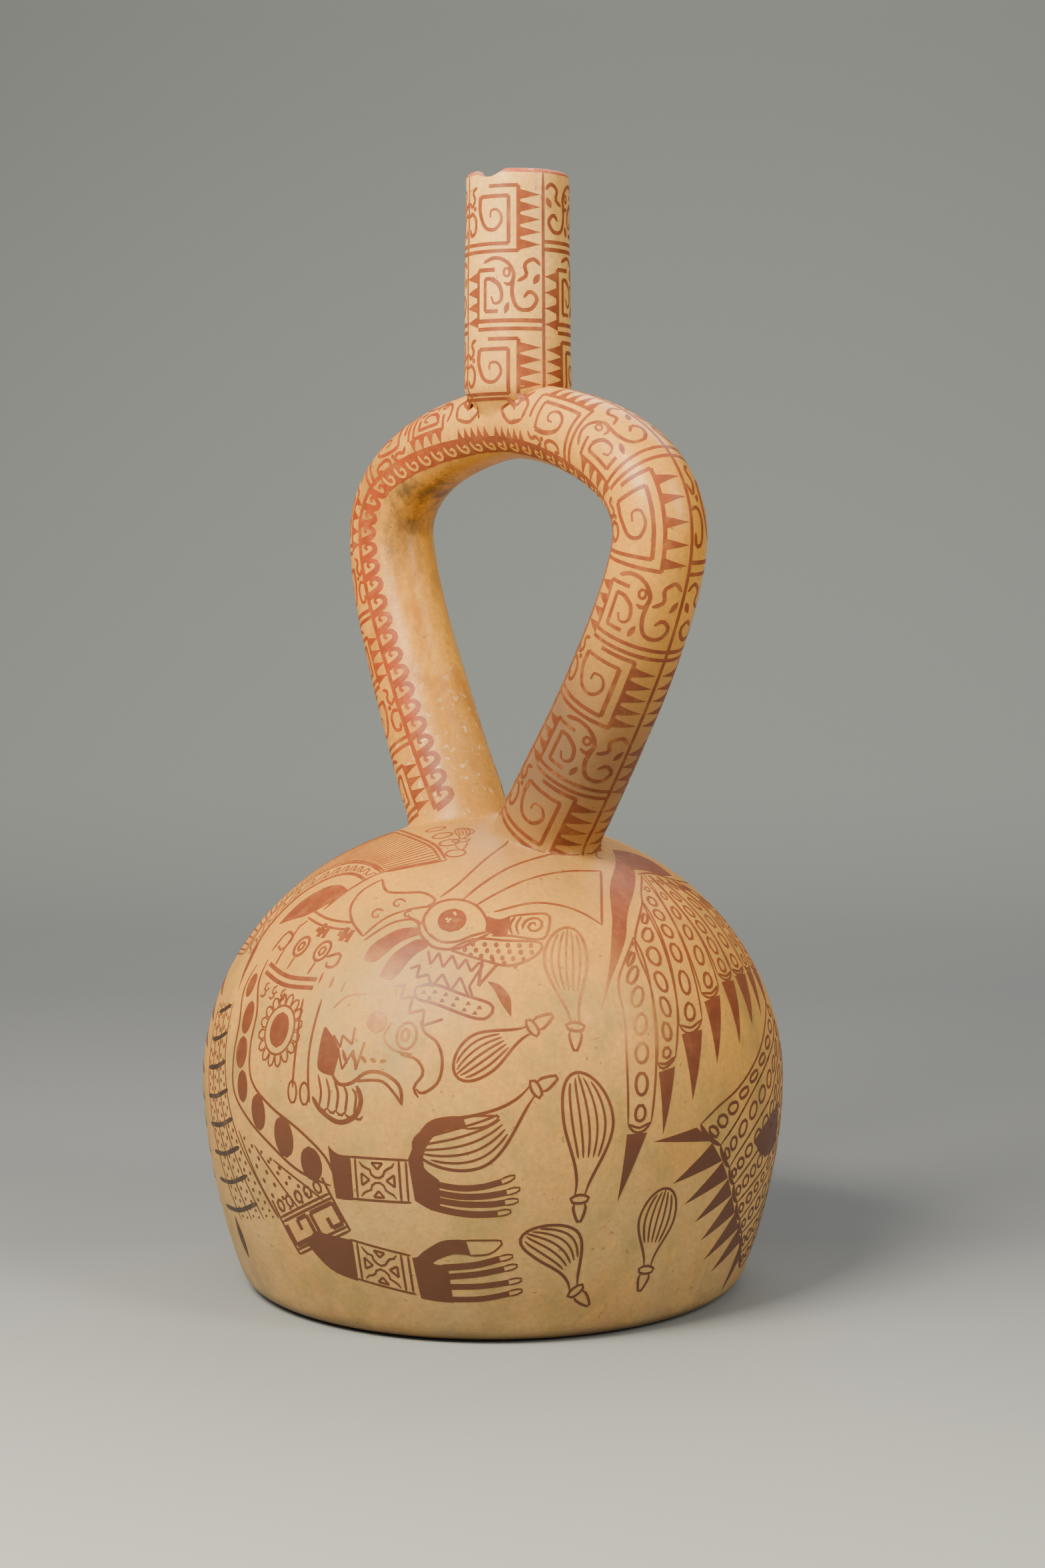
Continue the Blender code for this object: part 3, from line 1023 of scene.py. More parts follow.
def fret_field(red, chart, flip):
    """One field of a strip: nested stepped frets round a curl, teeth on one side and volutes on the other."""

    def place(x, y):
        return chart(1 - x if flip else x, y)

    red.angular(place, [(0.36, 0.02), (0.71, 0.02), (0.71, 0.98), (0, 0.98)], 1)
    red.angular(place, [(0.24, 0.17), (0.60, 0.17), (0.60, 0.87), (0, 0.87)], 1)
    curl = [
        (0.24, 0.17), (0.23, 0.38), (0.31, 0.62), (0.44, 0.66), (0.52, 0.52), (0.48, 0.38), (0.39, 0.38),
        (0.38, 0.48)
    ]
    red.stroke(place, curl, 1.35, "taper")
    red.teeth(place, (0.71, 0.06), (0.71, 0.98), (0.25, 0), 5, 2.9)
    red.stroke(
        place, [(0.02, 0.44), (0.09, 0.40), (0.16, 0.50), (0.15, 0.68), (0.07, 0.72), (0.05, 0.62)], 1
    )
    red.stroke(place, [(0.18, 0.02), (0.10, 0.08), (0.14, 0.20), (0.08, 0.30), (0.03, 0.22)], 1)
    red.stroke(place, [(0.16, 0.30), (0.12, 0.36)], 1.3, "leaf")


def crest_field(red, chart, flip):
    """The other field of a strip: a stepped fret with its teeth outside, and volutes like a bird's crest."""

    def place(x, y):
        return chart(1 - x if flip else x, y)

    red.teeth(place, (0.22, 0.18), (0.22, 0.98), (-0.20, 0), 4, 2.9)
    red.angular(place, [(0.44, 0.18), (0.22, 0.18), (0.22, 0.87), (1, 0.87)], 1)
    red.angular(place, [(0.22, 0.98), (1, 0.98)], 1)
    red.angular(place, [(0.40, 0.30), (0.32, 0.30), (0.32, 0.74), (0.48, 0.74)], 1)
    red.stroke(
        place, [(0.40, 0.30), (0.50, 0.40), (0.52, 0.58), (0.44, 0.64), (0.40, 0.54)], 1.3, "taper"
    )
    red.stroke(
        place, [(0.30, 0.08), (0.44, 0.02), (0.58, 0.08), (0.66, 0.24), (0.62, 0.38), (0.55, 0.36)], 1
    )
    red.ring(place, 0.58, 0.22, 0.07, 0.12, 0.7, steps=8)
    red.stroke(
        place,
        [(0.66, 0.26), (0.64, 0.50), (0.70, 0.70), (0.84, 0.72), (0.92, 0.58), (0.84, 0.48), (0.77, 0.56)],
        1,
    )
    red.stroke(place, [(0.70, 0.34), (0.80, 0.26), (0.78, 0.12), (0.88, 0.04), (0.96, 0.12)], 1)
    red.stroke(place, [(0.88, 0.38), (0.95, 0.24)], 1.6, "leaf")
    red.stroke(place, [(0.60, 0.62), (0.56, 0.78)], 1.4, "leaf")


def wave_border(slips, line, side, face, start, end, pitch):
    """A border line with running scrolls curling in from it, on a filled ground along the arch."""
    base = line.border(side, face, 0)
    count = round((end - start) / pitch)
    slips.red.stroke(base, [(start + (end - start) * step / 24, 0) for step in range(25)], 1.35, "band")
    for index in range(count):
        top = start + index * (end - start) / count
        shift = line.border(side, face, top)
        if top < FILLED_TO[side]:
            slips.red.stroke(shift, [(-0.1, 2.5), (pitch + 0.1, 2.5)], 5.2, "band", smooth=False, across=4)
            curl = [(4.4, 0.8), (3.9, 3.2), (2.4, 4.2), (1.1, 3.2), (1.6, 1.9), (2.7, 2.2)]
            slips.pale.stroke(shift, curl, 0.85)
            continue
        scroll = [(5.2, 0.2), (4.6, 2.4), (3.2, 4.5), (1.3, 4.4), (0.6, 2.8), (1.5, 1.7), (2.5, 2.4)]
        slips.red.stroke(shift, scroll, 2.2, "taper")


def fruit(slip, chart, tall, wide, bow, ribs=5, line=0.72):
    """A ribbed gourd-like fruit hanging by a bound neck, its tip at the drawing's lowest point."""

    def rib(share, last=1, first=0):
        path = []
        for step in range(first, 15):
            if step < 8:
                t = FRUIT_BODY * step / 8
                swell = 0.20 + 0.80 * smoothstep(t / FRUIT_BODY)
            else:
                turn = math.pi / 2 * (step - 8) / 6 * last
                t = FRUIT_BODY + 0.38 * math.sin(turn)
                swell = math.cos(turn)
            path.append((bow * math.sin(math.pi * t) + share * wide / 2 * swell, tall * t))
        return path

    slip.stroke(chart, rib(-1) + rib(1)[-2::-1], line)
    for index in range(ribs):
        share = -1 + 2 * (index + 1) / (ribs + 1)
        slip.stroke(chart, rib(share, 0.80 - 0.34 * abs(share), 4), line * 0.80)
    slip.ring(chart, 0, -1, 4.8, 2.2, line, steps=8)
    slip.stroke(chart, [(-1.3, -2), (-1.5, -3.8), (0, -7.2), (1.5, -3.8), (1.3, -2)], line)


def feather(slips, wall, left, right, tip, root=None):
    """A long feather between two edges: a row of ringed eyes, a double arc and a dark pointed end."""
    red = slips.red
    place, reach, _ = wall.between(left, right)
    for edge in (-1, 1):
        red.stroke(place, lengthwise(edge, 8), 0.6)
    count = max(2, round(reach / EYE_PITCH))
    for index in range(count):
        share = (index + 0.65) / (count + 0.10)
        gap = (place(1, share) - place(-1, share)).length / MM
        if gap > 2.0:
            red.ring(place, 0, share, 0.84, min(4.2, gap * 0.66) / reach, min(0.85, gap * 0.14), steps=10)
    for drop in (0.3, 1.9):
        arc = [(-1, 1), (-0.6, 1 + (drop + 0.4) / reach), (0, 1 + (drop + 1.3) / reach)]
        arc += [(0.6, 1 + (drop + 0.4) / reach), (1, 1)]
        red.stroke(place, arc, 0.65)
    sides = []
    for x, y in root or (left[-1], right[-1]):
        shares = (0.05, 0.4, 0.7, 1) if root else (0.13, 0.4, 0.7, 1)
        sides.append([(x + (tip[0] - x) * share, y + (tip[1] - y) * share) for share in shares])
    red.fill(wall.map(), *sides)


def hand(slips, chart, palm, thumb, fingers, lean):
    """A patterned cuff and an open hand that points right, its fingers given by their middle lines."""
    red = slips.red

    def cuff(x, y):
        return chart(x, y + (16 - x) * lean)

    for edge in (0.4, 1.9, 13.4, 15.2):
        red.stroke(cuff, [(edge, -5.2), (edge, 5.3)], 0.62)
    for level in (-5.2, 5.4):
        red.stroke(cuff, [(0, level), (15.9, level)], 0.62)
    for sign in (-1, 1):
        steps = [
            (3, 4.4), (4.2, 3), (5.6, 2.8), (6, 1.4), (7.7, 0.5), (9.3, 1.4), (9.8, 2.8), (11.2, 3.2),
            (12.2, 4.5)
        ]
        red.stroke(cuff, [(x, y * sign) for x, y in steps], 0.6)
        red.angular(cuff, [(6.3, 4.3 * sign), (9.1, 4.3 * sign), (7.7, 2.7 * sign), (6.3, 4.3 * sign)], 0.6)
        side = 7.7 + 4.3 * sign
        red.angular(cuff, [(side, -1.5), (side, 1.5), (7.7 + 2.2 * sign, 0), (side, -1.5)], 0.6)
    red.fill(chart, *palm)
    red.fill(chart, *thumb)
    (x, y), (low_x, low_y) = thumb[0][-1], thumb[1][-1]
    red.stroke(
        chart,
        [
            (x - 0.4, y), (x + 4.4, y + 0.1), (x + 8.8, y - 0.2), (x + 5.6, low_y + 0.6),
            (low_x - 0.4, low_y)
        ],
        0.5,
    )

    # Slim fingers, each with a long pale nail
    for path in fingers:
        (last_x, last_y), (x, y) = path[-2:]
        slope = (y - last_y) / (x - last_x)
        red.stroke(chart, path[:-1] + [(x - 3.6, y - 3.6 * slope)], 1.65, "band", across=2)
        nail = [(-3.8, 0.66), (-1.6, 0.72), (0, 0), (-1.6, -0.72), (-3.8, -0.66)]
        red.stroke(chart, [(x + along, y + along * slope + rise) for along, rise in nail], 0.45)


def fan(slips, wall, outer, inner, band, rays):
    """A headdress fan: rays between two arcs, and a band of running scrolls inside the inner one."""
    place, _, _ = wall.between(outer, inner)
    for edge, width in ((-1, 0.85), (-0.84, 0.7), (1, 0.8), (0.9, 0.6)):
        slips.red.stroke(place, lengthwise(edge, 16), width)
    for index in range(rays + 1):
        slips.red.stroke(place, [(-0.82, index / rays), (0.88, index / rays)], 0.55, smooth=False)
    scrolls, _, _ = wall.between(inner, band)
    for edge in (0.78, 1):
        slips.red.stroke(scrolls, lengthwise(edge, 16), 0.6)
    count = 12
    for index in range(count):
        path = [(0.55, -0.3), (0.1, -0.42), (-0.45, -0.25), (-0.5, 0.05), (0, 0.1), (0.45, 0.3), (0.1, 0.5)]
        slips.red.stroke(scrolls, [(x, (index + 0.5 + y) / count) for x, y in path], 0.6)


def beast_head(slips, chart):
    """A fanged animal's head in profile, facing left: round eye, nostril curls, spotted jaws and long ears."""
    red = slips.red
    red.strokes(
        chart,
        0.8,
        [(-5.6, -4.2), (-7.3, 0), (-5, 5.2), (0, 7), (5, 5.2), (8.2, 1), (9.6, -3.4)],
        [(9.6, -3.4), (5.4, -4.9), (2.2, -6.6), (-2, -6.7), (-5.6, -4.2)],
        [(-11.4, 0.6), (-8.4, -1.4), (-7.4, -4.6), (-3.4, -8.4), (2.4, -8.7), (6.4, -6.4), (9.8, -4)],
    )
    red.disc(chart, 0, 0, 7.6)
    for x, y in ((-1.3, 0.2), (-0.5, 0.1), (0.3, 2.3), (0.6, 1.8), (-0.9, -0.6)):
        slips.pale.disc(chart, x, y, 0.75)

    # Snout, brow and nostrils
    red.stroke(chart, [(-22, 13), (-27, 8.6), (-29.4, 3), (-27.6, -2), (-23, -6.4)], 0.75)
    red.stroke(chart, [(-22, 13), (-19.4, 8.8), (-14.6, 8.6), (-9, 9), (-5.2, 6.4), (-7.4, 4)], 0.8)
    red.strokes(
        chart,
        0.7,
        [(-23, -6.4), (-18, -0.6), (-12, 2.8), (-5.6, 4.4)],
        [(-22.4, -7.6), (-16, -2), (-10.4, -0.2), (-7.4, -1.6)],
    )
    red.spiral(chart, -15, 4.6, 2.1, 20, 1)
    red.spiral(chart, -20.4, 0.6, 2.1, 40, 1)
    red.spiral(chart, -11.6, 1.2, 1.4, 60, 1)
    red.fill(
        chart,
        [(-21.6, -13), (-19.6, -8.4), (-13.4, -3.6), (-7.8, -2.6)],
        [(-21.6, -13), (-18, -13.2), (-12.6, -7.6), (-7.8, -5)],
    )
    red.fill(
        chart,
        [(-16.4, -17.2), (-14, -11.4), (-8.6, -6.6), (-5, -6.4)],
        [(-16.4, -17.2), (-12.6, -17.6), (-8.4, -11.4), (-5, -8.4)],
    )

    # Cheek box with a curl
    red.fill(chart, [(8.6, 1.4), (11.6, 0.4), (14.2, 1.6)], [(8.6, -3.2), (11.4, -4.6), (14.2, -4.6)])
    red.stroke(
        chart, [(14.2, 1.4), (20, 2), (23.8, 1.4), (24.2, -3.4), (22.6, -6), (15, -4.8), (10.4, -4.8)], 0.75
    )
    red.spiral(chart, 20.4, -1.8, 2.9, 200, 1.6, -1, width=0.75)
    for x in (15.4, 17):
        red.stroke(chart, [(x, 1.2), (x - 1, -1.6), (x, -4.4)], 0.65)

    # Spotted jaws, teeth and fangs
    red.stroke(
        chart,
        [(0.4, -9), (6.5, -5.8), (14, -6.2), (22.6, -7), (22, -10.6), (16, -13.4), (9, -11.8), (0.4, -9)],
        0.75,
    )
    for row, (count, left, right, level) in enumerate(
        ((6, 6.2, 20.4, -7.3), (7, 4.4, 20.8, -8.9), (6, 6, 19, -10.5), (3, 11.6, 17.2, -12))
    ):
        for index in range(count):
            share = index / (count - 1)
            red.disc(chart, left + (right - left) * share, level - 0.35 * row * share - 0.5 * share, 1.1, 1.5)
    red.angular(
        chart,
        [
            (-4.6, -9.6), (-3.6, -13.2), (-1.8, -10), (-0.4, -14), (1.6, -10.6), (3.4, -14.4), (5, -11.6),
            (6.6, -15), (8.4, -12.4)
        ],
        0.68,
    )
    red.angular(chart, [(9, -12.2), (8.8, -18.8), (12.8, -13)], 0.75)
    red.angular(
        chart,
        [
            (-8.6, -14.6), (-6.2, -13.6), (-6.6, -17), (-3.8, -16), (-2.6, -19.2), (-0.2, -15.8),
            (2.2, -20.2), (4.2, -16.6), (6.6, -21.4)
        ],
        0.68,
    )
    red.angular(chart, [(9.4, -13), (6.6, -19), (7.8, -22)], 0.68)
    red.stroke(
        chart,
        [
            (-6.6, -19.6), (-2, -18.6), (5, -21), (12.4, -23.6), (12, -26.6), (8.6, -27), (-1.2, -23.6),
            (-6, -22.4), (-6.6, -19.6)
        ],
        0.75,
    )
    for x, y in (
        (-4.4, -20.8), (-1.6, -20.6), (1.2, -21.2), (4, -22.2), (6.8, -23.4), (9.6, -24.4), (-2.8, -22.2),
        (0.4, -22.8), (3.2, -23.8), (6, -25), (8.6, -25.8)
    ):
        red.ring(chart, x, y, 0.9, 0.9, 0.55, steps=6)
    red.fill(
        chart,
        [(10.8, -17.6), (14, -18.6), (16.8, -22), (17.4, -26.8)],
        [(10.8, -17.6), (12.8, -20), (14.8, -23.4), (17.4, -26.8)],
    )
    red.angular(
        chart,
        [
            (-12.4, -19.6), (-9.4, -19), (-10, -22.6), (-7, -22), (-7.6, -26.2), (-3.8, -25.2),
            (-4, -29.2), (1, -27.4)
        ],
        0.65,
    )

    # Long ears swept back
    red.strokes(
        chart,
        0.7,
        [(1.7, 7), (6, 13.6), (12, 20.4), (20, 24.6), (30, 25.4), (39, 24.6)],
        [(5, 4.8), (10, 9.6), (17, 14.6), (26, 17), (37.4, 16.2)],
        [(37.4, 16.2), (37.8, 7), (38.5, -2.6)],
        [(38.5, -2.6), (33, 1.4), (26, 4.6), (18.5, 5.6), (10, 2.8)],
        [(-4.2, 7.6), (0, 13.6), (4.6, 24), (9, 33.5)],
        [(36, 27), (36.4, 22.4), (38.6, 21.2)],
    )


def crested_bird(slips, chart):
    """A hook-beaked bird's head, worn pale and paled by painted highlight, over a curled bracket and a
    five-fingered paw.
    """
    red = slips.red
    red.ring(chart, 7.6, 6.2, 5, 6.6, 0.65)
    red.ring(chart, 7.2, 6.4, 1.8, 3.2, 0.8, steps=8)
    red.stroke(chart, [(3.4, 9.4), (1.8, 5.6), (4.8, 2.6), (9.6, 1.8)], 0.6)
    red.stroke(
        chart,
        [(10.4, 10), (12, 7.2), (15.4, 4.8), (17.2, 0.4), (16.6, -4.6), (13, -7.4), (11.4, -6.4)],
        0.75,
    )
    red.stroke(chart, [(6.6, 1.6), (10.8, 0.6), (12.8, -2.6), (10.8, -6), (12, -8.4)], 0.7)
    red.disc(chart, -0.6, 9.2, 5.6)
    red.fill(
        chart,
        [(-15.2, 6.6), (-15.8, 1), (-15.4, -3.6), (-11.6, -4.8)],
        [(-14.6, 6.8), (-11.6, 4), (-9.8, 0.8), (-10.6, -4.6)],
    )
    red.stroke(chart, [(-13.4, 11.6), (-10, 15), (-5, 16)], 0.55)
    for index in range(5):
        x = -8.8 + 2.6 * index
        red.stroke(chart, [(x, 1.6 - 0.5 * index), (x + 1.6, -1.6 + 0.4 * index)], 0.95)
    red.angular(chart, [(-12, 5), (-9.6, 2.2), (-9.4, 5.2), (-6.4, 3.2), (-6.2, 7.4)], 0.6)
    red.angular(chart, [(-10.2, 2), (-8.4, -3), (-5.8, 1.8), (-4.6, -2.8), (-3, 4)], 0.6)
    bracket = [(-11.4, -4), (-9, -6.6), (-5.4, -6), (-1.6, -3.2), (3, -3.2), (7.2, -6), (8, -10.4)]
    red.stroke(chart, bracket, 0.9)
    red.stroke(chart, [(-4.6, -5.6), (-0.6, -5), (3, -5.2), (6.2, -8), (8, -10.4)], 0.7)
    red.stroke(
        chart, [(-4, -6.6), (-2.6, -10), (-4.2, -14), (-8.8, -15.8), (-14, -13.4), (-16.6, -10.4)], 1.3
    )
    for index in range(5):
        x = -15.8 + 2.5 * index
        red.strokes(
            chart,
            0.7,
            [(x + 0.6, -5 - 0.6 * index), (x + 1.8, -9), (x + 1.4, -12.4 - 0.4 * index)],
            [
                (x + 1.4, -12.4 - 0.4 * index), (x + 2.7, -13.6 - 0.3 * index),
                (x + 3.8, -12.6 - 0.3 * index)
            ],
        )


def bead_disc(slips, chart, wide, tall, beads):
    """A round ear ornament: dark centre, plain ring and a rim of beads."""
    slips.red.disc(chart, 0, 0, wide, tall)
    slips.red.ring(chart, 0, 0, wide * 1.55, tall * 1.38, 0.6, steps=18)
    for index in range(beads):
        turn = math.tau * (index + 0.5) / beads
        first = math.tau * (index + 0.12) / beads
        last = math.tau * (index + 0.88) / beads
        scallop = []
        for angle, reach in ((first, 0.80), (first, 1.02), (turn, 1.16), (last, 1.02), (last, 0.80)):
            scallop.append((wide * reach * math.sin(angle), tall * 0.9 * reach * math.cos(angle)))
        slips.red.stroke(chart, scallop, 0.6)


def disc_collar(slips, wall, stations):
    """A broad collar: two edges along a curve, with large dark discs between them."""
    place = wall.map()
    inner = []
    outer = []
    for turn, down, half, _, _ in stations:
        shift = math.degrees(half * MM / wall.at(down * MM).x)
        outer.append((turn - shift * 0.9, down + half * 0.45))
        inner.append((turn + shift * 0.9, down - half * 0.45))
    slips.red.stroke(place, outer, 0.75)
    slips.red.stroke(place, inner, 0.75)
    for turn, down, _, wide, tall in stations:
        if wide:
            slips.red.disc(wall.drawing(turn, down, 8), 0, 0, wide, tall)


def dotted_cloth(slips, wall, left, right, columns, rows):
    """A hanging cloth of paired dots between upright lines."""
    place, reach, _ = wall.between(left, right)
    for index in range(columns + 1):
        x = 2 * index / columns - 1
        slips.red.stroke(place, lengthwise(x, 6), 0.6)
    for row in range(rows):
        for index in range(columns):
            for part in (0.30, 0.70):
                x = 2 * (index + part) / columns - 1
                share = (row + (0.62 if part > 0.5 else 0.38)) / rows
                slips.red.stroke(
                    place, [(x, share - 0.55 / reach), (x, share + 0.55 / reach)], 0.95, "disc", False
                )


def step_fret_band(slips, chart, wide, tall, repeats):
    """A woven band of angular hooks between double edges."""
    red = slips.red
    for level in (0, 1.2, tall - 1.2, tall):
        red.stroke(chart, [(0, level), (wide / 2, level), (wide, level)], 0.68)
    cell = wide / repeats
    low, high = 2.3, tall - 2.3
    for index in range(repeats):
        left = index * cell + 0.7
        right = left + cell - 1.5
        bend = left + (right - left) * 0.55
        middle = (low + high) / 2
        hook = [(left, high), (left, low), (right, low), (right, high), (bend, high), (bend, middle)]
        if index % 2:
            hook = [(x, tall - y) for x, y in hook]
        red.angular(chart, hook, 1.15)


# Operators


class VESSEL_OT_clay(Operator):
    """Build the fired bottle in the place of its CAD solid"""

    bl_idname = "vessel.clay"
    bl_label = "Fired clay body"

    def execute(self, context):
        shape = context.scene.vessel_shape
        painting = context.scene.vessel_painting
        slip, clay, lip = cream_slip(painting), bare_clay(painting), lip_slip(painting)
        mesh = fired_body(shape, slip, clay, lip)
        tones = [material.name for material in mesh.materials]
        order = {name: index for index, name in enumerate(tones)}
        body = bmesh.new()
        body.from_mesh(mesh)
        bpy.data.meshes.remove(mesh)
        bmesh.ops.remove_doubles(body, verts=body.verts, dist=MERGE)
        bmesh.ops.dissolve_degenerate(body, edges=body.edges, dist=MERGE)
        bmesh.ops.triangulate(body, faces=[face for face in body.faces if len(face.verts) > 4])
        self.blend_feet(shape, body)
        self.rough_out(shape, body)
        for face in body.faces:
            middle = face.calc_center_median()
            face.smooth = True
            if middle.z > CAD_HIGH.z - LIP_PAINT_WIDTH:
                face.material_index = order[lip.name]
            elif middle.z < BARE_BASE:
                face.material_index = order[clay.name]
        for edge in body.edges:
            if edge.calc_face_angle(0.0) > CLAY_CREASE:
                edge.smooth = False
        item = finished("vessel_clay", body, [bpy.data.materials[name] for name in tones])
        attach(item, BODY)
        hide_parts("vessel")
        return {"FINISHED"}

    def blend_feet(self, shape, body):
        """Smooth the clay where the legs meet the dome."""
        feet = []
        for side in (-1, 1):
            points, _ = half_stirrup(shape, side)
            feet += points[-24:]
        reach = shape.fillet_reach
        seams = []
        for vert in body.verts:
            flat = math.hypot(vert.co.x, vert.co.y)
            if flat > 0.05 or abs(vert.co.z - dome_height(shape, flat)) > 0.008:
                continue
            edge = min((vert.co - point).length for point in feet) - shape.leg_foot_radius
            if abs(edge) < reach:
                seams.append(vert)
        for _ in range(FOOT_SMOOTHING_ROUNDS):
            bmesh.ops.smooth_vert(
                body, verts=seams, factor=0.5, use_axis_x=True, use_axis_y=True, use_axis_z=True
            )

    def rough_out(self, shape, body):
        """Let the hand-smoothed wall stray a little, and keep the base flat."""
        noise.seed_set(7)
        for vert in body.verts:
            hold = smoothstep((vert.co.z - 0.002) / 0.012) * smoothstep((CAD_HIGH.z - vert.co.z) / 0.004)
            spot = vert.co / 0.021
            vert.co += noise.noise_vector(spot) * shape.unevenness * hold


# Each strip's first angle, how wide it is, and its fields from the top: kind, top, bottom and flip
SPOUT_STRIPS = (
    (-68, 97, ((fret_field, 59, 42, False), (crest_field, 41, 22.4, False), (fret_field, 20.6, 3.8, False))),
    (29, 88, ((crest_field, 60, 42.5, True), (crest_field, 41.6, 21.6, False), (fret_field, 20, 4, True))),
    (117, 88, ((crest_field, 59, 41, False), (fret_field, 40, 22.4, True), (crest_field, 21, 4.4, True))),
    (205, 87, ((fret_field, 59, 42, True), (crest_field, 41, 22, False), (fret_field, 20.6, 4, True))),
)


class VESSEL_OT_spout_painting(Operator):
    """Paint the strips of frets and volutes round the spout"""

    bl_idname = "vessel.spout_painting"
    bl_label = "Spout painting"

    def execute(self, context):
        shape = context.scene.vessel_shape
        painting = context.scene.vessel_painting
        slips = Slips(painting, 0.9 * MM)
        red = slips.red
        for turn, wide, fields in SPOUT_STRIPS:
            whole = spout_drawing(shape, turn, wide, 1, 62)
            red.stroke(whole, lengthwise(0, 6), 0.9)
            for kind, top, bottom, flip in fields:
                kind(red, spout_drawing(shape, turn, wide, bottom, top), flip)
        slips.pieces("spout", painting)
        return {"FINISHED"}


class VESSEL_OT_stirrup_painting(Operator):
    """Paint the strips and the running scrolls along the stirrup"""

    bl_idname = "vessel.stirrup_painting"
    bl_label = "Stirrup painting"

    def execute(self, context):
        shape = context.scene.vessel_shape
        painting = context.scene.vessel_painting
        line = StirrupLine(shape)
        slips = Slips(painting, 1.0 * MM)
        red = slips.red
        for side in (-1, 1):
            foot = line.sides[side][2][-1] / MM - FOOT_GAP
            midline = line.strip(side, 1, 14.5, foot)
            red.stroke(midline, lengthwise(1, 12), 0.9)
            for face in (1, -1):
                wave_border(slips, line, side, face, 0, foot, painting.wave_pitch / MM)
                self.fields(red, line, side, face, foot)
        slips.pieces("stirrup", painting)
        return {"FINISHED"}

    def fields(self, red, line, side, face, foot):
        """Fields of frets down one strip, with their teeth turned to the midline and the border in turn."""
        red.teeth(line.strip(side, face, 1, 14), (0, 0), (0, 1), (0.17, 0), 5, 2.6)
        volutes = line.strip(side, face, 2, 14)
        red.strokes(
            volutes,
            1,
            [(0.30, 0.9), (0.24, 0.5), (0.40, 0.2), (0.52, 0.45), (0.40, 0.6)],
            [(0.30, 0.9), (0.50, 0.95), (0.60, 0.7), (0.56, 0.5)],
        )
        top = FIRST_FIELD
        for index in range(FIELDS):
            bottom = top + (foot - FIRST_FIELD) / FIELDS - FIELD_GAP
            kind = fret_field if (index + (side > 0)) % 2 else crest_field
            kind(red, line.strip(side, face, top, bottom), face < 0 and index % 3 == 2)
            top = bottom + FIELD_GAP


class ChamberPainter:
    """What the operators that paint the chamber share. Each names its piece and lays its marks in paint."""

    def execute(self, context):
        painting = context.scene.vessel_painting
        slips = Slips(painting)
        self.paint(Wall(context.scene.vessel_shape), slips, slips.red)
        slips.pieces(self.piece, painting)
        return {"FINISHED"}


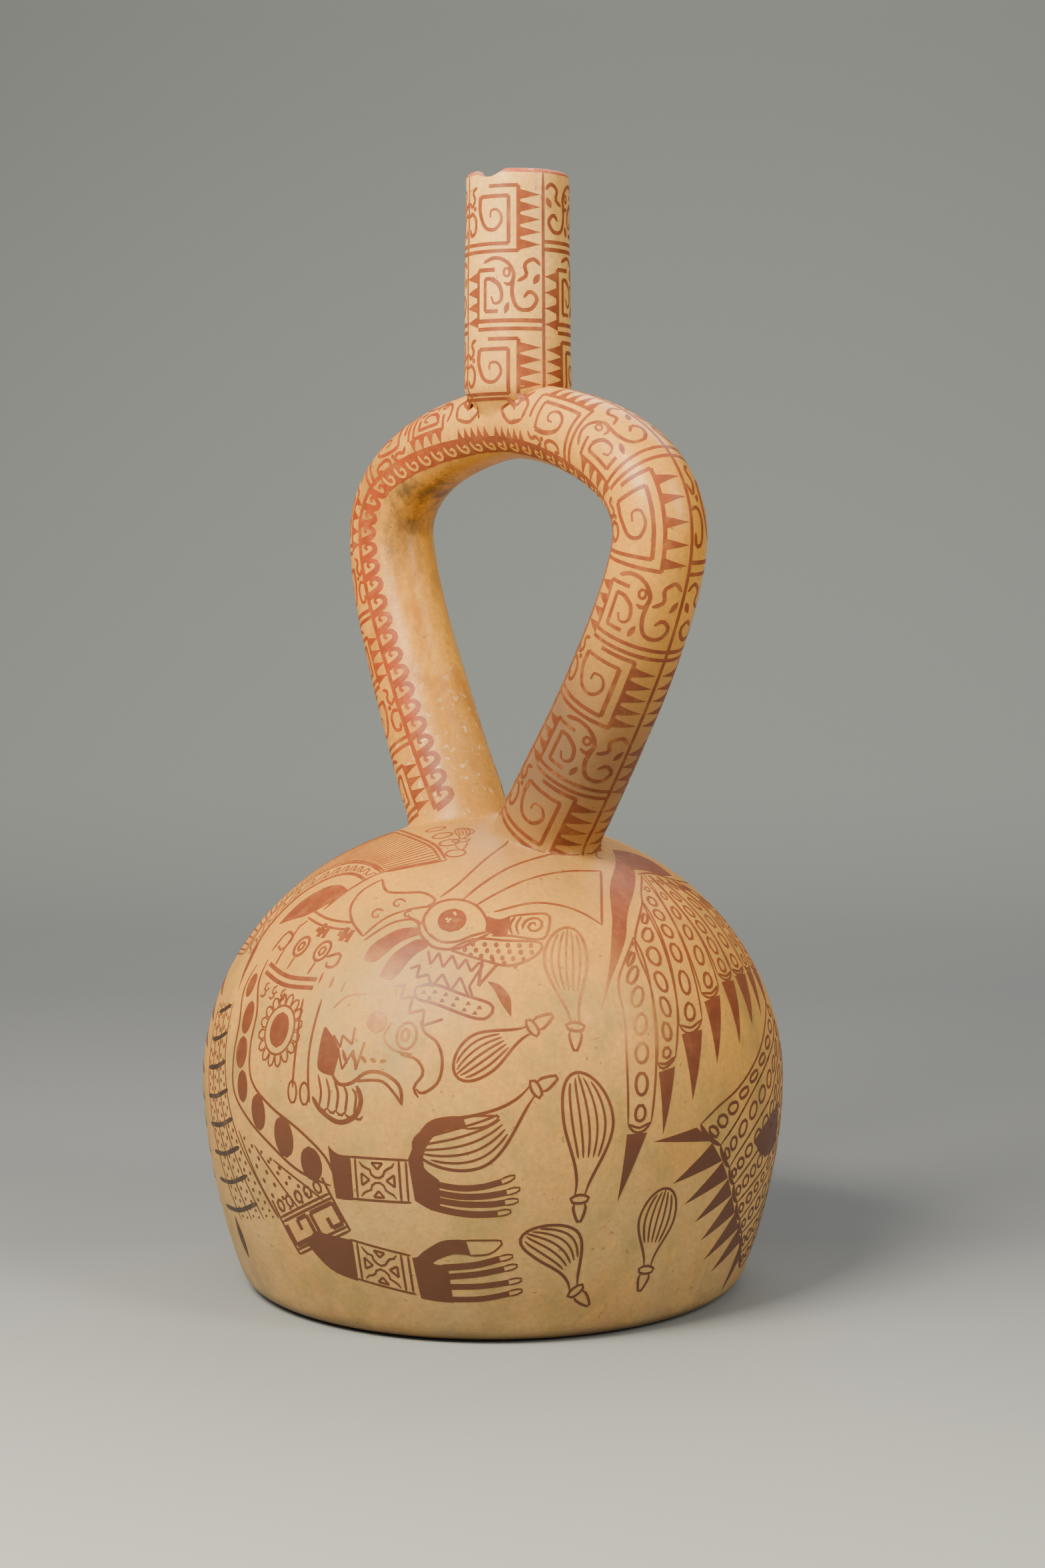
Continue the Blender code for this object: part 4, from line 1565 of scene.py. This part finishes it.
class VESSEL_OT_beast_painting(ChamberPainter, Operator):
    """Paint the fanged head, its headdress and the bird's head"""

    bl_idname = "vessel.beast_painting"
    bl_label = "Heads and headdress"
    piece = "heads"

    def paint(self, wall, slips, red):
        beast_head(slips, wall.drawing(-10, 60))
        crested_bird(slips, wall.drawing(-22, 98))
        crest = wall.drawing(-52, 60)
        place = wall.map()
        outer = [
            (-18.4, 37.2), (-29, 30), (-47.5, 25.9), (-72, 24.4), (-97, 26), (-112, 34), (-113, 50),
            (-106, 68), (-98, 82)
        ]
        inner = [
            (-41, 44.4), (-49, 42.2), (-56.2, 41.6), (-63, 42.2), (-70, 44.6), (-76.5, 50), (-79, 58),
            (-78, 68), (-75, 78)
        ]
        band = [
            (-45.6, 48), (-51, 46.8), (-56.5, 46.8), (-62, 48.6), (-67, 52.6), (-70.6, 58), (-71.6, 64),
            (-71, 71), (-69.6, 77)
        ]
        fan(slips, wall, outer, inner, band, 46)
        red.stroke(place, [(-18.4, 37.2), (-30, 40), (-42, 44.8), (-47.6, 51.8), (-50.9, 59.8)], 0.8)
        red.fill(
            place,
            [(-66.4, 67), (-65.2, 59), (-60, 53), (-54, 51), (-47.6, 52.4)],
            [(-66.4, 67), (-61, 64.6), (-56, 62.4), (-51.6, 58.4), (-47.6, 52.4)],
        )
        red.fill(place, [(-71.8, 70), (-70, 77), (-66, 87)], [(-71.8, 70), (-68, 77), (-66, 87)])
        for turn, down, tilt in ((-16.5, 33.4, 12), (-24, 27.6, 28), (-34, 23.4, 42), (-50, 19.6, 60)):
            red.ring(wall.drawing(turn, down, tilt), 0, 0, 5.2, 3.9, 0.62)

        # Ringed studs, steps and bars behind the snout
        for x, y in ((2.8, -11.4), (11.2, -11.8)):
            red.ring(crest, x, y, 4.6, 5.8, 0.85)
            red.ring(crest, x, y, 1.9, 2.6, 0.8, steps=9)
            red.stroke(crest, [(x, y - 3), (x - 0.6, y - 6.8)], 0.6)
            red.stroke(crest, [(x + 1.4, y + 5.6), (x + 6, y + 4.9)], 1.5, "band", False)
            red.stroke(crest, [(x + 3.2, y + 7.6), (x + 3.6, y + 3.4)], 1.5, "band", False)
            red.stroke(crest, [(x + 5.2, y + 7), (x + 5.6, y + 3.2)], 1.3, "band", False)
        red.stroke(crest, [(-8.8, -14.4), (-7, -8.4), (-3, -9.6), (-4.4, -13.4), (-7.2, -12.6)], 0.8)
        red.angular(crest, [(-3.4, -17.6), (-3.4, -6), (-1.8, -4)], 0.65)
        red.stroke(crest, [(13.8, -13.4), (17.6, -12), (18.2, -15.4), (15.6, -16), (14.8, -14.6)], 0.8)
        for level in (0, -2.3):
            red.stroke(crest, [(-6.2, -17.8 + level), (4, -20 + level), (14.6, -19.6 + level)], 1.1, "band")
            red.stroke(crest, [(-3, -0.6 + level), (6, -2.4 + level), (14.6, -2.6 + level)], 0.7)
        for index in range(3):
            red.stroke(
                crest,
                [(15.6 + 4 * index, -17.6 - 0.8 * index), (15.8 + 4 * index, -20.6 - 0.8 * index)],
                0.6,
            )
            red.spiral(crest, -2 + 3.8 * index, -24 - 0.4 * index, 1.5, 90, 1.1, width=0.62)
            red.stroke(
                crest, [(-4 + 4 * index, -26.2), (-2.2 + 4 * index, -26.4), (-2.2 + 4 * index, -24.6)], 0.8
            )


class VESSEL_OT_costume_painting(ChamberPainter, Operator):
    """Paint the ear ornament, the collar, the dotted cloth and its fretted hem"""

    bl_idname = "vessel.costume_painting"
    bl_label = "Collar and cloth"
    piece = "costume"

    def paint(self, wall, slips, red):
        bead_disc(slips, wall.drawing(-45.6, 93.6, 4), 6.8, 9, 16)
        collar = (
            (-61, 78, 2.4, 0, 0),
            (-60.6, 84.4, 3.4, 3.6, 6.6),
            (-57, 92.4, 4, 5.2, 8.6),
            (-56.2, 101.2, 4.2, 5, 8.2),
            (-54.4, 109.4, 4.6, 5, 8.2),
            (-48.8, 114.8, 5.2, 6, 9.2),
            (-41.6, 119.6, 5.8, 7, 10.4),
            (-35, 125.2, 5, 6.8, 8.8),
            (-30.2, 129.6, 1, 0, 0),
        )
        disc_collar(slips, wall, collar)
        strap = wall.map()
        red.strokes(
            strap, 0.7, [(-41.4, 85), (-40, 96), (-39.4, 107)], [(-36.4, 84.5), (-36.4, 98), (-35, 110)]
        )
        for turn in (-39.4, -36.4):
            red.ring(wall.drawing(turn, 108, 6), 0, 0, 2.8, 5.6, 0.6, steps=10)
        cloth = [(-76, 92), (-73, 106), (-70.5, 120), (-66, 134), (-61, 146)]
        dotted_cloth(
            slips, wall, cloth, [(-66, 90), (-62.5, 106), (-58, 120), (-51, 132), (-45.5, 141.5)], 3, 20
        )
        side = [(-56, 121), (-51, 131), (-45.5, 141)]
        dotted_cloth(slips, wall, side, [(-45, 126), (-38, 130.4), (-33, 134)], 2, 6)
        for index in range(8):
            down = 92.5 + 7.2 * index
            half = 3.4 + 0.75 * index
            middle = -70 + 1.3 * index
            path = [
                (middle - half, down + 1.6), (middle, down + 0.4), (middle + half, down - 1.6 - 0.3 * index)
            ]
            slips.dark.stroke(strap, path, 1.15)
        for index in range(9):
            red.fill(
                strap,
                [(-88, 84 + 7.4 * index), (-77.5, 90 + 7 * index)],
                [(-88, 89 + 7.4 * index), (-77.5, 90.6 + 7 * index)],
            )
        hem = wall.drawing(-41, 150, 27)
        step_fret_band(slips, hem, 19.6, 10.2, 2)
        for index in range(5):
            red.ring(hem, 2 + 3.7 * index, 12.8, 2.2, 3.2, 0.72, steps=9)
        red.angular(hem, [(0, 0), (-0.6, 15)], 0.7)
        red.angular(hem, [(19.6, 0), (19.6, 14.4)], 0.7)
        slips.dark.stroke(strap, [(-64.6, 146), (-63, 157)], 3.4, "leaf")


# Each hand's palm and thumb by two edges, and its fingers by their lines, in mm from the cuff's start
UPPER_HAND = (
    (
        [(15.8, 5.7), (19.3, 5.4), (19.9, 3.4), (23.2, 0.7)],
        [(16.8, -4.6), (18.6, -5.8), (20.6, -6.8), (22.8, -7.5)],
    ),
    (
        [(15.8, 5.7), (17.4, 9.2), (19.2, 12.8), (21.8, 15.3), (26, 16.3), (29.4, 16.3)],
        [(19.3, 5.2), (20.2, 8.2), (22.2, 11.2), (25.4, 13), (28, 13.3), (30.6, 13.3)],
    ),
    (
        [(21.6, -0.2), (27.7, -1.2), (33, -1), (38.1, 0.2), (41.8, 1.6)],
        [(21.6, -2.3), (27.7, -3.3), (33.5, -3.3), (38.5, -2.6), (42.8, -1.6)],
        [(21.2, -4.1), (27.7, -5.2), (34.5, -5.4), (38.5, -5), (42.2, -4.5)],
        [(20.6, -6), (26, -7.3), (31, -7.9), (36.3, -7.8), (40.2, -7.2)],
    ),
)
LOWER_HAND = (
    ([(16.2, 4.9), (19, 4.6), (22, 3.4), (24.8, 3.4)], [(16.9, -6.2), (20, -6.7), (22.4, -6.9), (24.8, -7)]),
    (
        [(16.2, 4.9), (17.6, 5.2), (19.4, 6.8), (23.9, 9.6), (28, 10.2), (30, 10)],
        [(20.2, 2.6), (21.6, 4), (23.2, 5), (26.3, 6.2), (28.4, 6.3), (30.8, 6)],
    ),
    (
        [(23.6, 2.6), (31.5, 3.5), (37.7, 5.2), (41.2, 6)],
        [(23.6, 0.1), (31.5, 1), (37.2, 2.2), (42, 3.4)],
        [(23.6, -2.6), (31.5, -2.3), (38, -1.4), (42.6, -0.4)],
        [(23.6, -6.1), (31.5, -5.8), (38.4, -4.4), (42.3, -3.4)],
    ),
)


class VESSEL_OT_hand_painting(ChamberPainter, Operator):
    """Paint the two arms and the ribbed fruits round them"""

    bl_idname = "vessel.hand_painting"
    bl_label = "Hands and fruits"
    piece = "hands_and_fruits"

    def paint(self, wall, slips, red):
        upper = wall.drawing(-26.6, 127.4, 1)
        hand(slips, upper, *UPPER_HAND, 0)
        red.fill(upper, [(-5.6, 7.6), (-3, 5.8), (0.6, 5.6)], [(-4.4, -5.6), (-2, -5.7), (0.6, -5.6)])
        lower = wall.drawing(-27.8, 151.6, 0)
        hand(slips, lower, *LOWER_HAND, 0.17)
        red.fill(lower, [(-10.5, 9), (-5, 8.4), (0.6, 8)], [(-13.6, 5), (-7, -1), (0.6, -3.2)])
        # Each fruit's collar in degrees and mm down, then its tilt, length, width and bow
        for turn, down, tilt, tall, wide, bow in (
            (7.6, 104.6, 117, 32, 13, -4.5),
            (16.5, 130.6, 1, 30, 12.6, 2.4),
            (16.6, 155.4, 40, 20.5, 11.5, 4.2),
            (32.4, 151.6, -8, 20.5, 10.8, -0.8),
            (7.4, 90, 121, 21, 9.6, 1.2),
            (16.6, 88.6, -6, 26, 10.8, -1.6),
            (-19, 25, 20, 8.5, 5, 1),
        ):
            ribs, line = (5, 0.72) if wide > 6 else (4, 0.5)
            fruit(red, wall.drawing(turn, down, tilt), tall, wide, bow, ribs, line)


# Each feather's left edge, right edge and tip, in degrees right of the front and mm down the wall
UPPER_FEATHERS = (
    (
        [(36, 67), (28, 78), (27, 88), (26, 100), (25.6, 114)],
        [(36, 67), (36, 74), (33, 95), (30.4, 114)],
        (24, 133),
    ),
    ([(47, 56), (36, 68), (35, 82), (32.6, 100)], [(47, 56), (45, 66), (40, 88), (37, 99)], (33, 117.5)),
    ([(58, 47.5), (47, 56), (43.5, 70), (39.5, 91.5)], [(58, 47.5), (54, 58), (50, 72), (46, 91)], (40, 110)),
    (
        [(60, 47.5), (54.5, 58), (50.5, 72), (48.4, 84.5)],
        [(62, 48), (60, 58), (58.5, 69), (55, 83.5)],
        (47.5, 102.5),
    ),
    ([(63, 48), (60.5, 58), (59, 69), (56.8, 80.5)], [(66, 49), (66.5, 60), (65.5, 70), (63, 81)], (56, 99)),
    (
        [(67, 49), (67, 60), (66, 70), (63.8, 80.5)],
        [(70, 50.5), (75, 62), (73.5, 72), (71.5, 81)],
        (63, 95.5),
    ),
    (
        [(71, 51), (76, 62), (74.5, 72), (72.5, 81)], [(74, 52), (81, 63), (79.5, 73), (77.5, 82)],
        (69.5, 94.5)
    ),
    ([(75, 52), (82, 63), (80.5, 73), (78.5, 82)], [(78, 53), (90, 66), (87, 76), (84.5, 84)], (77, 94)),
)
# The lower fan: the edges that its feathers share, where their dark ends meet, and the tips
LOWER_EDGES = (
    [(78.5, 91.5), (71, 96.5), (62.5, 103.5), (54, 109.5), (47, 113), (42, 116.5)],
    [(82, 95), (75.5, 101), (67, 106), (59, 112), (52, 119), (48, 123)],
    [(84, 101), (74, 108.5), (68.5, 115), (61.5, 120), (54.5, 126), (51.5, 129.5)],
    [(86, 107), (75, 115.5), (70.5, 122), (64, 127), (58.5, 131), (54, 134.5)],
    [(88, 114), (77, 124), (69.5, 132.5), (62.5, 136.5), (56.5, 140)],
    [(89, 122), (79, 131), (71, 137.5), (65, 141.5), (59.5, 145.5)],
    [(90, 130), (82, 138.5), (75, 145), (67.5, 148), (62.5, 150)],
    [(92, 138), (84, 147), (77, 152), (70, 155), (65.5, 156.5)],
    [(94, 146), (86, 154), (79, 159), (73, 161), (69.5, 162)],
)
LOWER_ROOTS = (
    (41.5, 117), (46, 121.5), (49.5, 127), (52, 132), (54.2, 137), (57, 142.5), (60.3, 147.5), (63.5, 152),
    (66.5, 157)
)
LOWER_TIPS = (
    (31, 119), (36, 130.5), (39.5, 136.5), (43, 142), (46, 147.5), (48.5, 153.5), (52.5, 158), (61, 166)
)


class VESSEL_OT_feather_painting(ChamberPainter, Operator):
    """Paint the spike and the two fans of ringed feathers on the right"""

    bl_idname = "vessel.feather_painting"
    bl_label = "Feathers"
    piece = "feathers"

    def paint(self, wall, slips, red):
        place = wall.map()
        spike = [(64.8, 35.4), (41, 48.3), (31.8, 62.7), (26.8, 74), (22.4, 85.6)]
        red.fill(place, spike, [(58.3, 44.8), (40.6, 57.5), (33.2, 67.8), (26.6, 77.3), (22.4, 85.6)])
        red.fill(
            place,
            [(64.8, 35.4), (76, 38.5), (82.5, 44), (80, 50.8)],
            [(58.3, 44.8), (65.3, 46.4), (70, 49), (80, 50.8)],
        )
        red.stroke(place, [(57.5, 46.8), (66, 47.6), (76, 51.8), (92, 56)], 0.7)
        for left, right, tip in UPPER_FEATHERS:
            feather(slips, wall, left, right, tip)
        for index, tip in enumerate(LOWER_TIPS):
            root = LOWER_ROOTS[index : index + 2]
            feather(slips, wall, LOWER_EDGES[index], LOWER_EDGES[index + 1], tip, root)
        red.fill(place, [(60.5, 125), (66, 121.5), (75, 118)], [(64, 129), (70, 131), (76, 129)])


class VESSEL_OT_back_painting(ChamberPainter, Operator):
    """Paint the back of the chamber with plainer versions of the front's motifs"""

    bl_idname = "vessel.back_painting"
    bl_label = "Back of the chamber"
    piece = "back"

    def paint(self, wall, slips, red):
        outer = [(140, 44), (150, 32), (172, 25), (196, 27), (212, 36), (220, 48)]
        inner = [(160, 58), (164, 50), (174, 45), (186, 45), (196, 50), (200, 58)]
        band = [(164, 59), (168, 53), (175, 50), (185, 50), (192, 53), (196, 59)]
        fan(slips, wall, outer, inner, band, 30)
        hand(slips, wall.drawing(128, 128, 2), *LOWER_HAND, 0.05)
        hand(slips, wall.drawing(130, 152, 2), *LOWER_HAND, 0.10)
        for turn, tilt in ((108, 8), (176, -10), (194, 12), (212, -6)):
            fruit(red, wall.drawing(turn, 152, tilt), 24, 12, 2)
        edges = []
        for index in range(8):
            turn = 208 + 8 * index
            edges.append(((228 + 1.5 * index, 52), (turn + 9, 72), (turn + 1, 100 - 1.4 * index)))
        for index in range(7):
            tip = (edges[index][-1][0] + 2, 117 - 2.4 * index)
            feather(slips, wall, edges[index], edges[index + 1], tip)
        bead_disc(slips, wall.drawing(150, 96), 8, 9, 16)
        step_fret_band(slips, wall.drawing(166, 106), 40, 11, 4)
        beast_head(slips, wall.drawing(122, 74, 0, 0.86))


class VESSEL_OT_stage(Operator):
    """Set the floor, the backdrop, the lights and the camera"""

    bl_idname = "vessel.stage"
    bl_label = "Stage"

    def execute(self, context):
        stage = context.scene.vessel_stage
        self.sweep(stage)
        front, right, up = FRONT_WAY, RIGHT_WAY, UP
        warm = (1.0, 0.89, 0.71)
        self.lamp("left", front * 0.46 - right * 0.92 + up * 1.02, (0.40, 0.60), 9.0, warm)
        self.lamp("right", front * 0.72 + right * 0.92 + up * 0.85, (0.30, 0.75), 11.0, (1.0, 0.91, 0.77))
        self.lamp("top", front * 0.34 - right * 0.25 + up * 0.52, (0.22, 0.22), 6.4, warm)
        self.lamp("back", -front * 1.0 + right * 0.3 + up * 1.3, (1.2, 0.6), 9.0, (1.0, 0.97, 0.93))
        world = bpy.data.worlds.new("soft grey room")
        context.scene.world = world
        world.use_nodes = True
        backdrop = world.node_tree.nodes["Background"]
        backdrop.inputs["Color"].default_value = to_linear("#c4c9cc")
        backdrop.inputs["Strength"].default_value = 0.37

        camera = bpy.data.cameras.new("camera")
        camera.sensor_fit = "VERTICAL"
        camera.sensor_height = 36.0
        camera.lens = stage.lens
        camera.clip_start = 0.01
        item = bpy.data.objects.new("camera", camera)
        context.scene.collection.objects.link(item)
        item.location = front * stage.camera_distance + right * stage.camera_shift + up * stage.camera_height
        item.rotation_euler = (math.pi / 2 - stage.camera_pitch, 0.0, FRONT)
        context.scene.camera = item
        return {"FINISHED"}

    def sweep(self, stage):
        """A wide sheet of paper that runs back as the floor and curves up into the backdrop."""
        sheet = bmesh.new()
        profile = [(PAPER_REACH, 0.0), (PAPER_BEND, 0.0)]
        for step in range(1, 13):
            turn = math.pi / 2 * step / 12
            profile.append((PAPER_BEND - PAPER_CURVE * math.sin(turn), PAPER_CURVE * (1 - math.cos(turn))))
        profile.append((PAPER_BEND - PAPER_CURVE, PAPER_TOP))
        left = RIGHT_WAY * PAPER_REACH
        corners = [sheet.verts.new(FRONT_WAY * back - left + UP * rise) for back, rise in profile]
        edges = [sheet.edges.new(pair) for pair in zip(corners, corners[1:])]
        wide = bmesh.ops.extrude_edge_only(sheet, edges=edges)
        moved = [part for part in wide["geom"] if isinstance(part, bmesh.types.BMVert)]
        bmesh.ops.translate(sheet, verts=moved, vec=RIGHT_WAY * 2 * PAPER_REACH)
        bmesh.ops.recalc_face_normals(sheet, faces=sheet.faces)
        for face in sheet.faces:
            face.smooth = True
        item = finished("paper_sweep", sheet, [self.paper(stage)])

    def paper(self, stage):
        material, tree, shader, place = new_material("matt paper")
        dot = put(tree, "ShaderNodeVectorMath", {"operation": "DOT_PRODUCT", 1: FRONT_WAY}, {0: place})
        back = dot.outputs["Value"]
        # Painted shade on the one sheet: pale near the vessel, darkest on the far floor, grey up the backdrop
        tone = blend(tree, ramp(tree, back, 0.24, -0.04), stage.floor, stage.shade)
        tone = blend(tree, ramp(tree, back, -0.50, -0.95), tone, stage.backdrop)
        tree.links.new(tone, shader.inputs["Base Color"])
        shader.inputs["Roughness"].default_value = 0.9
        shader.inputs["Specular IOR Level"].default_value = 0.2
        return material

    def lamp(self, name, place, size, power, tone):
        light = bpy.data.lights.new(name, "AREA")
        light.shape = "RECTANGLE"
        light.size, light.size_y = size
        light.energy = power
        light.color = tone
        item = bpy.data.objects.new(name, light)
        bpy.context.scene.collection.objects.link(item)
        item.location = place
        aim = Vector((0.0, 0.0, 0.13)) - place
        item.rotation_euler = aim.to_track_quat("-Z", "Y").to_euler()


OPERATORS = (
    VESSEL_OT_clay,
    VESSEL_OT_spout_painting,
    VESSEL_OT_stirrup_painting,
    VESSEL_OT_beast_painting,
    VESSEL_OT_costume_painting,
    VESSEL_OT_hand_painting,
    VESSEL_OT_feather_painting,
    VESSEL_OT_back_painting,
    VESSEL_OT_stage,
)


class VESSEL_PT_panel(Panel):
    """Lists the vessel's sizes, colours and steps"""

    bl_idname = "VESSEL_PT_panel"
    bl_label = "Stirrup spout vessel"
    bl_space_type = "VIEW_3D"
    bl_region_type = "UI"
    bl_category = "Vessel"

    def draw(self, context):
        scene = context.scene
        for group in (scene.vessel_shape, scene.vessel_painting, scene.vessel_stage):
            box = self.layout.box()
            for name in group.__annotations__:
                box.prop(group, name)
        for operator in OPERATORS:
            self.layout.operator(operator.bl_idname)


GROUPS = (("vessel_shape", VesselShape), ("vessel_painting", VesselPainting), ("vessel_stage", VesselStage))


def register():
    for name, group in GROUPS:
        bpy.utils.register_class(group)
        setattr(bpy.types.Scene, name, PointerProperty(type=group))
    for operator in OPERATORS:
        bpy.utils.register_class(operator)
    bpy.utils.register_class(VESSEL_PT_panel)


def unregister():
    bpy.utils.unregister_class(VESSEL_PT_panel)
    for operator in reversed(OPERATORS):
        bpy.utils.unregister_class(operator)
    for name, group in reversed(GROUPS):
        delattr(bpy.types.Scene, name)
        bpy.utils.unregister_class(group)


def main():
    register()
    bpy.ops.vessel.clay()
    bpy.ops.vessel.spout_painting()
    bpy.ops.vessel.stirrup_painting()
    bpy.ops.vessel.beast_painting()
    bpy.ops.vessel.costume_painting()
    bpy.ops.vessel.hand_painting()
    bpy.ops.vessel.feather_painting()
    bpy.ops.vessel.back_painting()
    bpy.ops.vessel.stage()


if __name__ == "__main__":
    main()
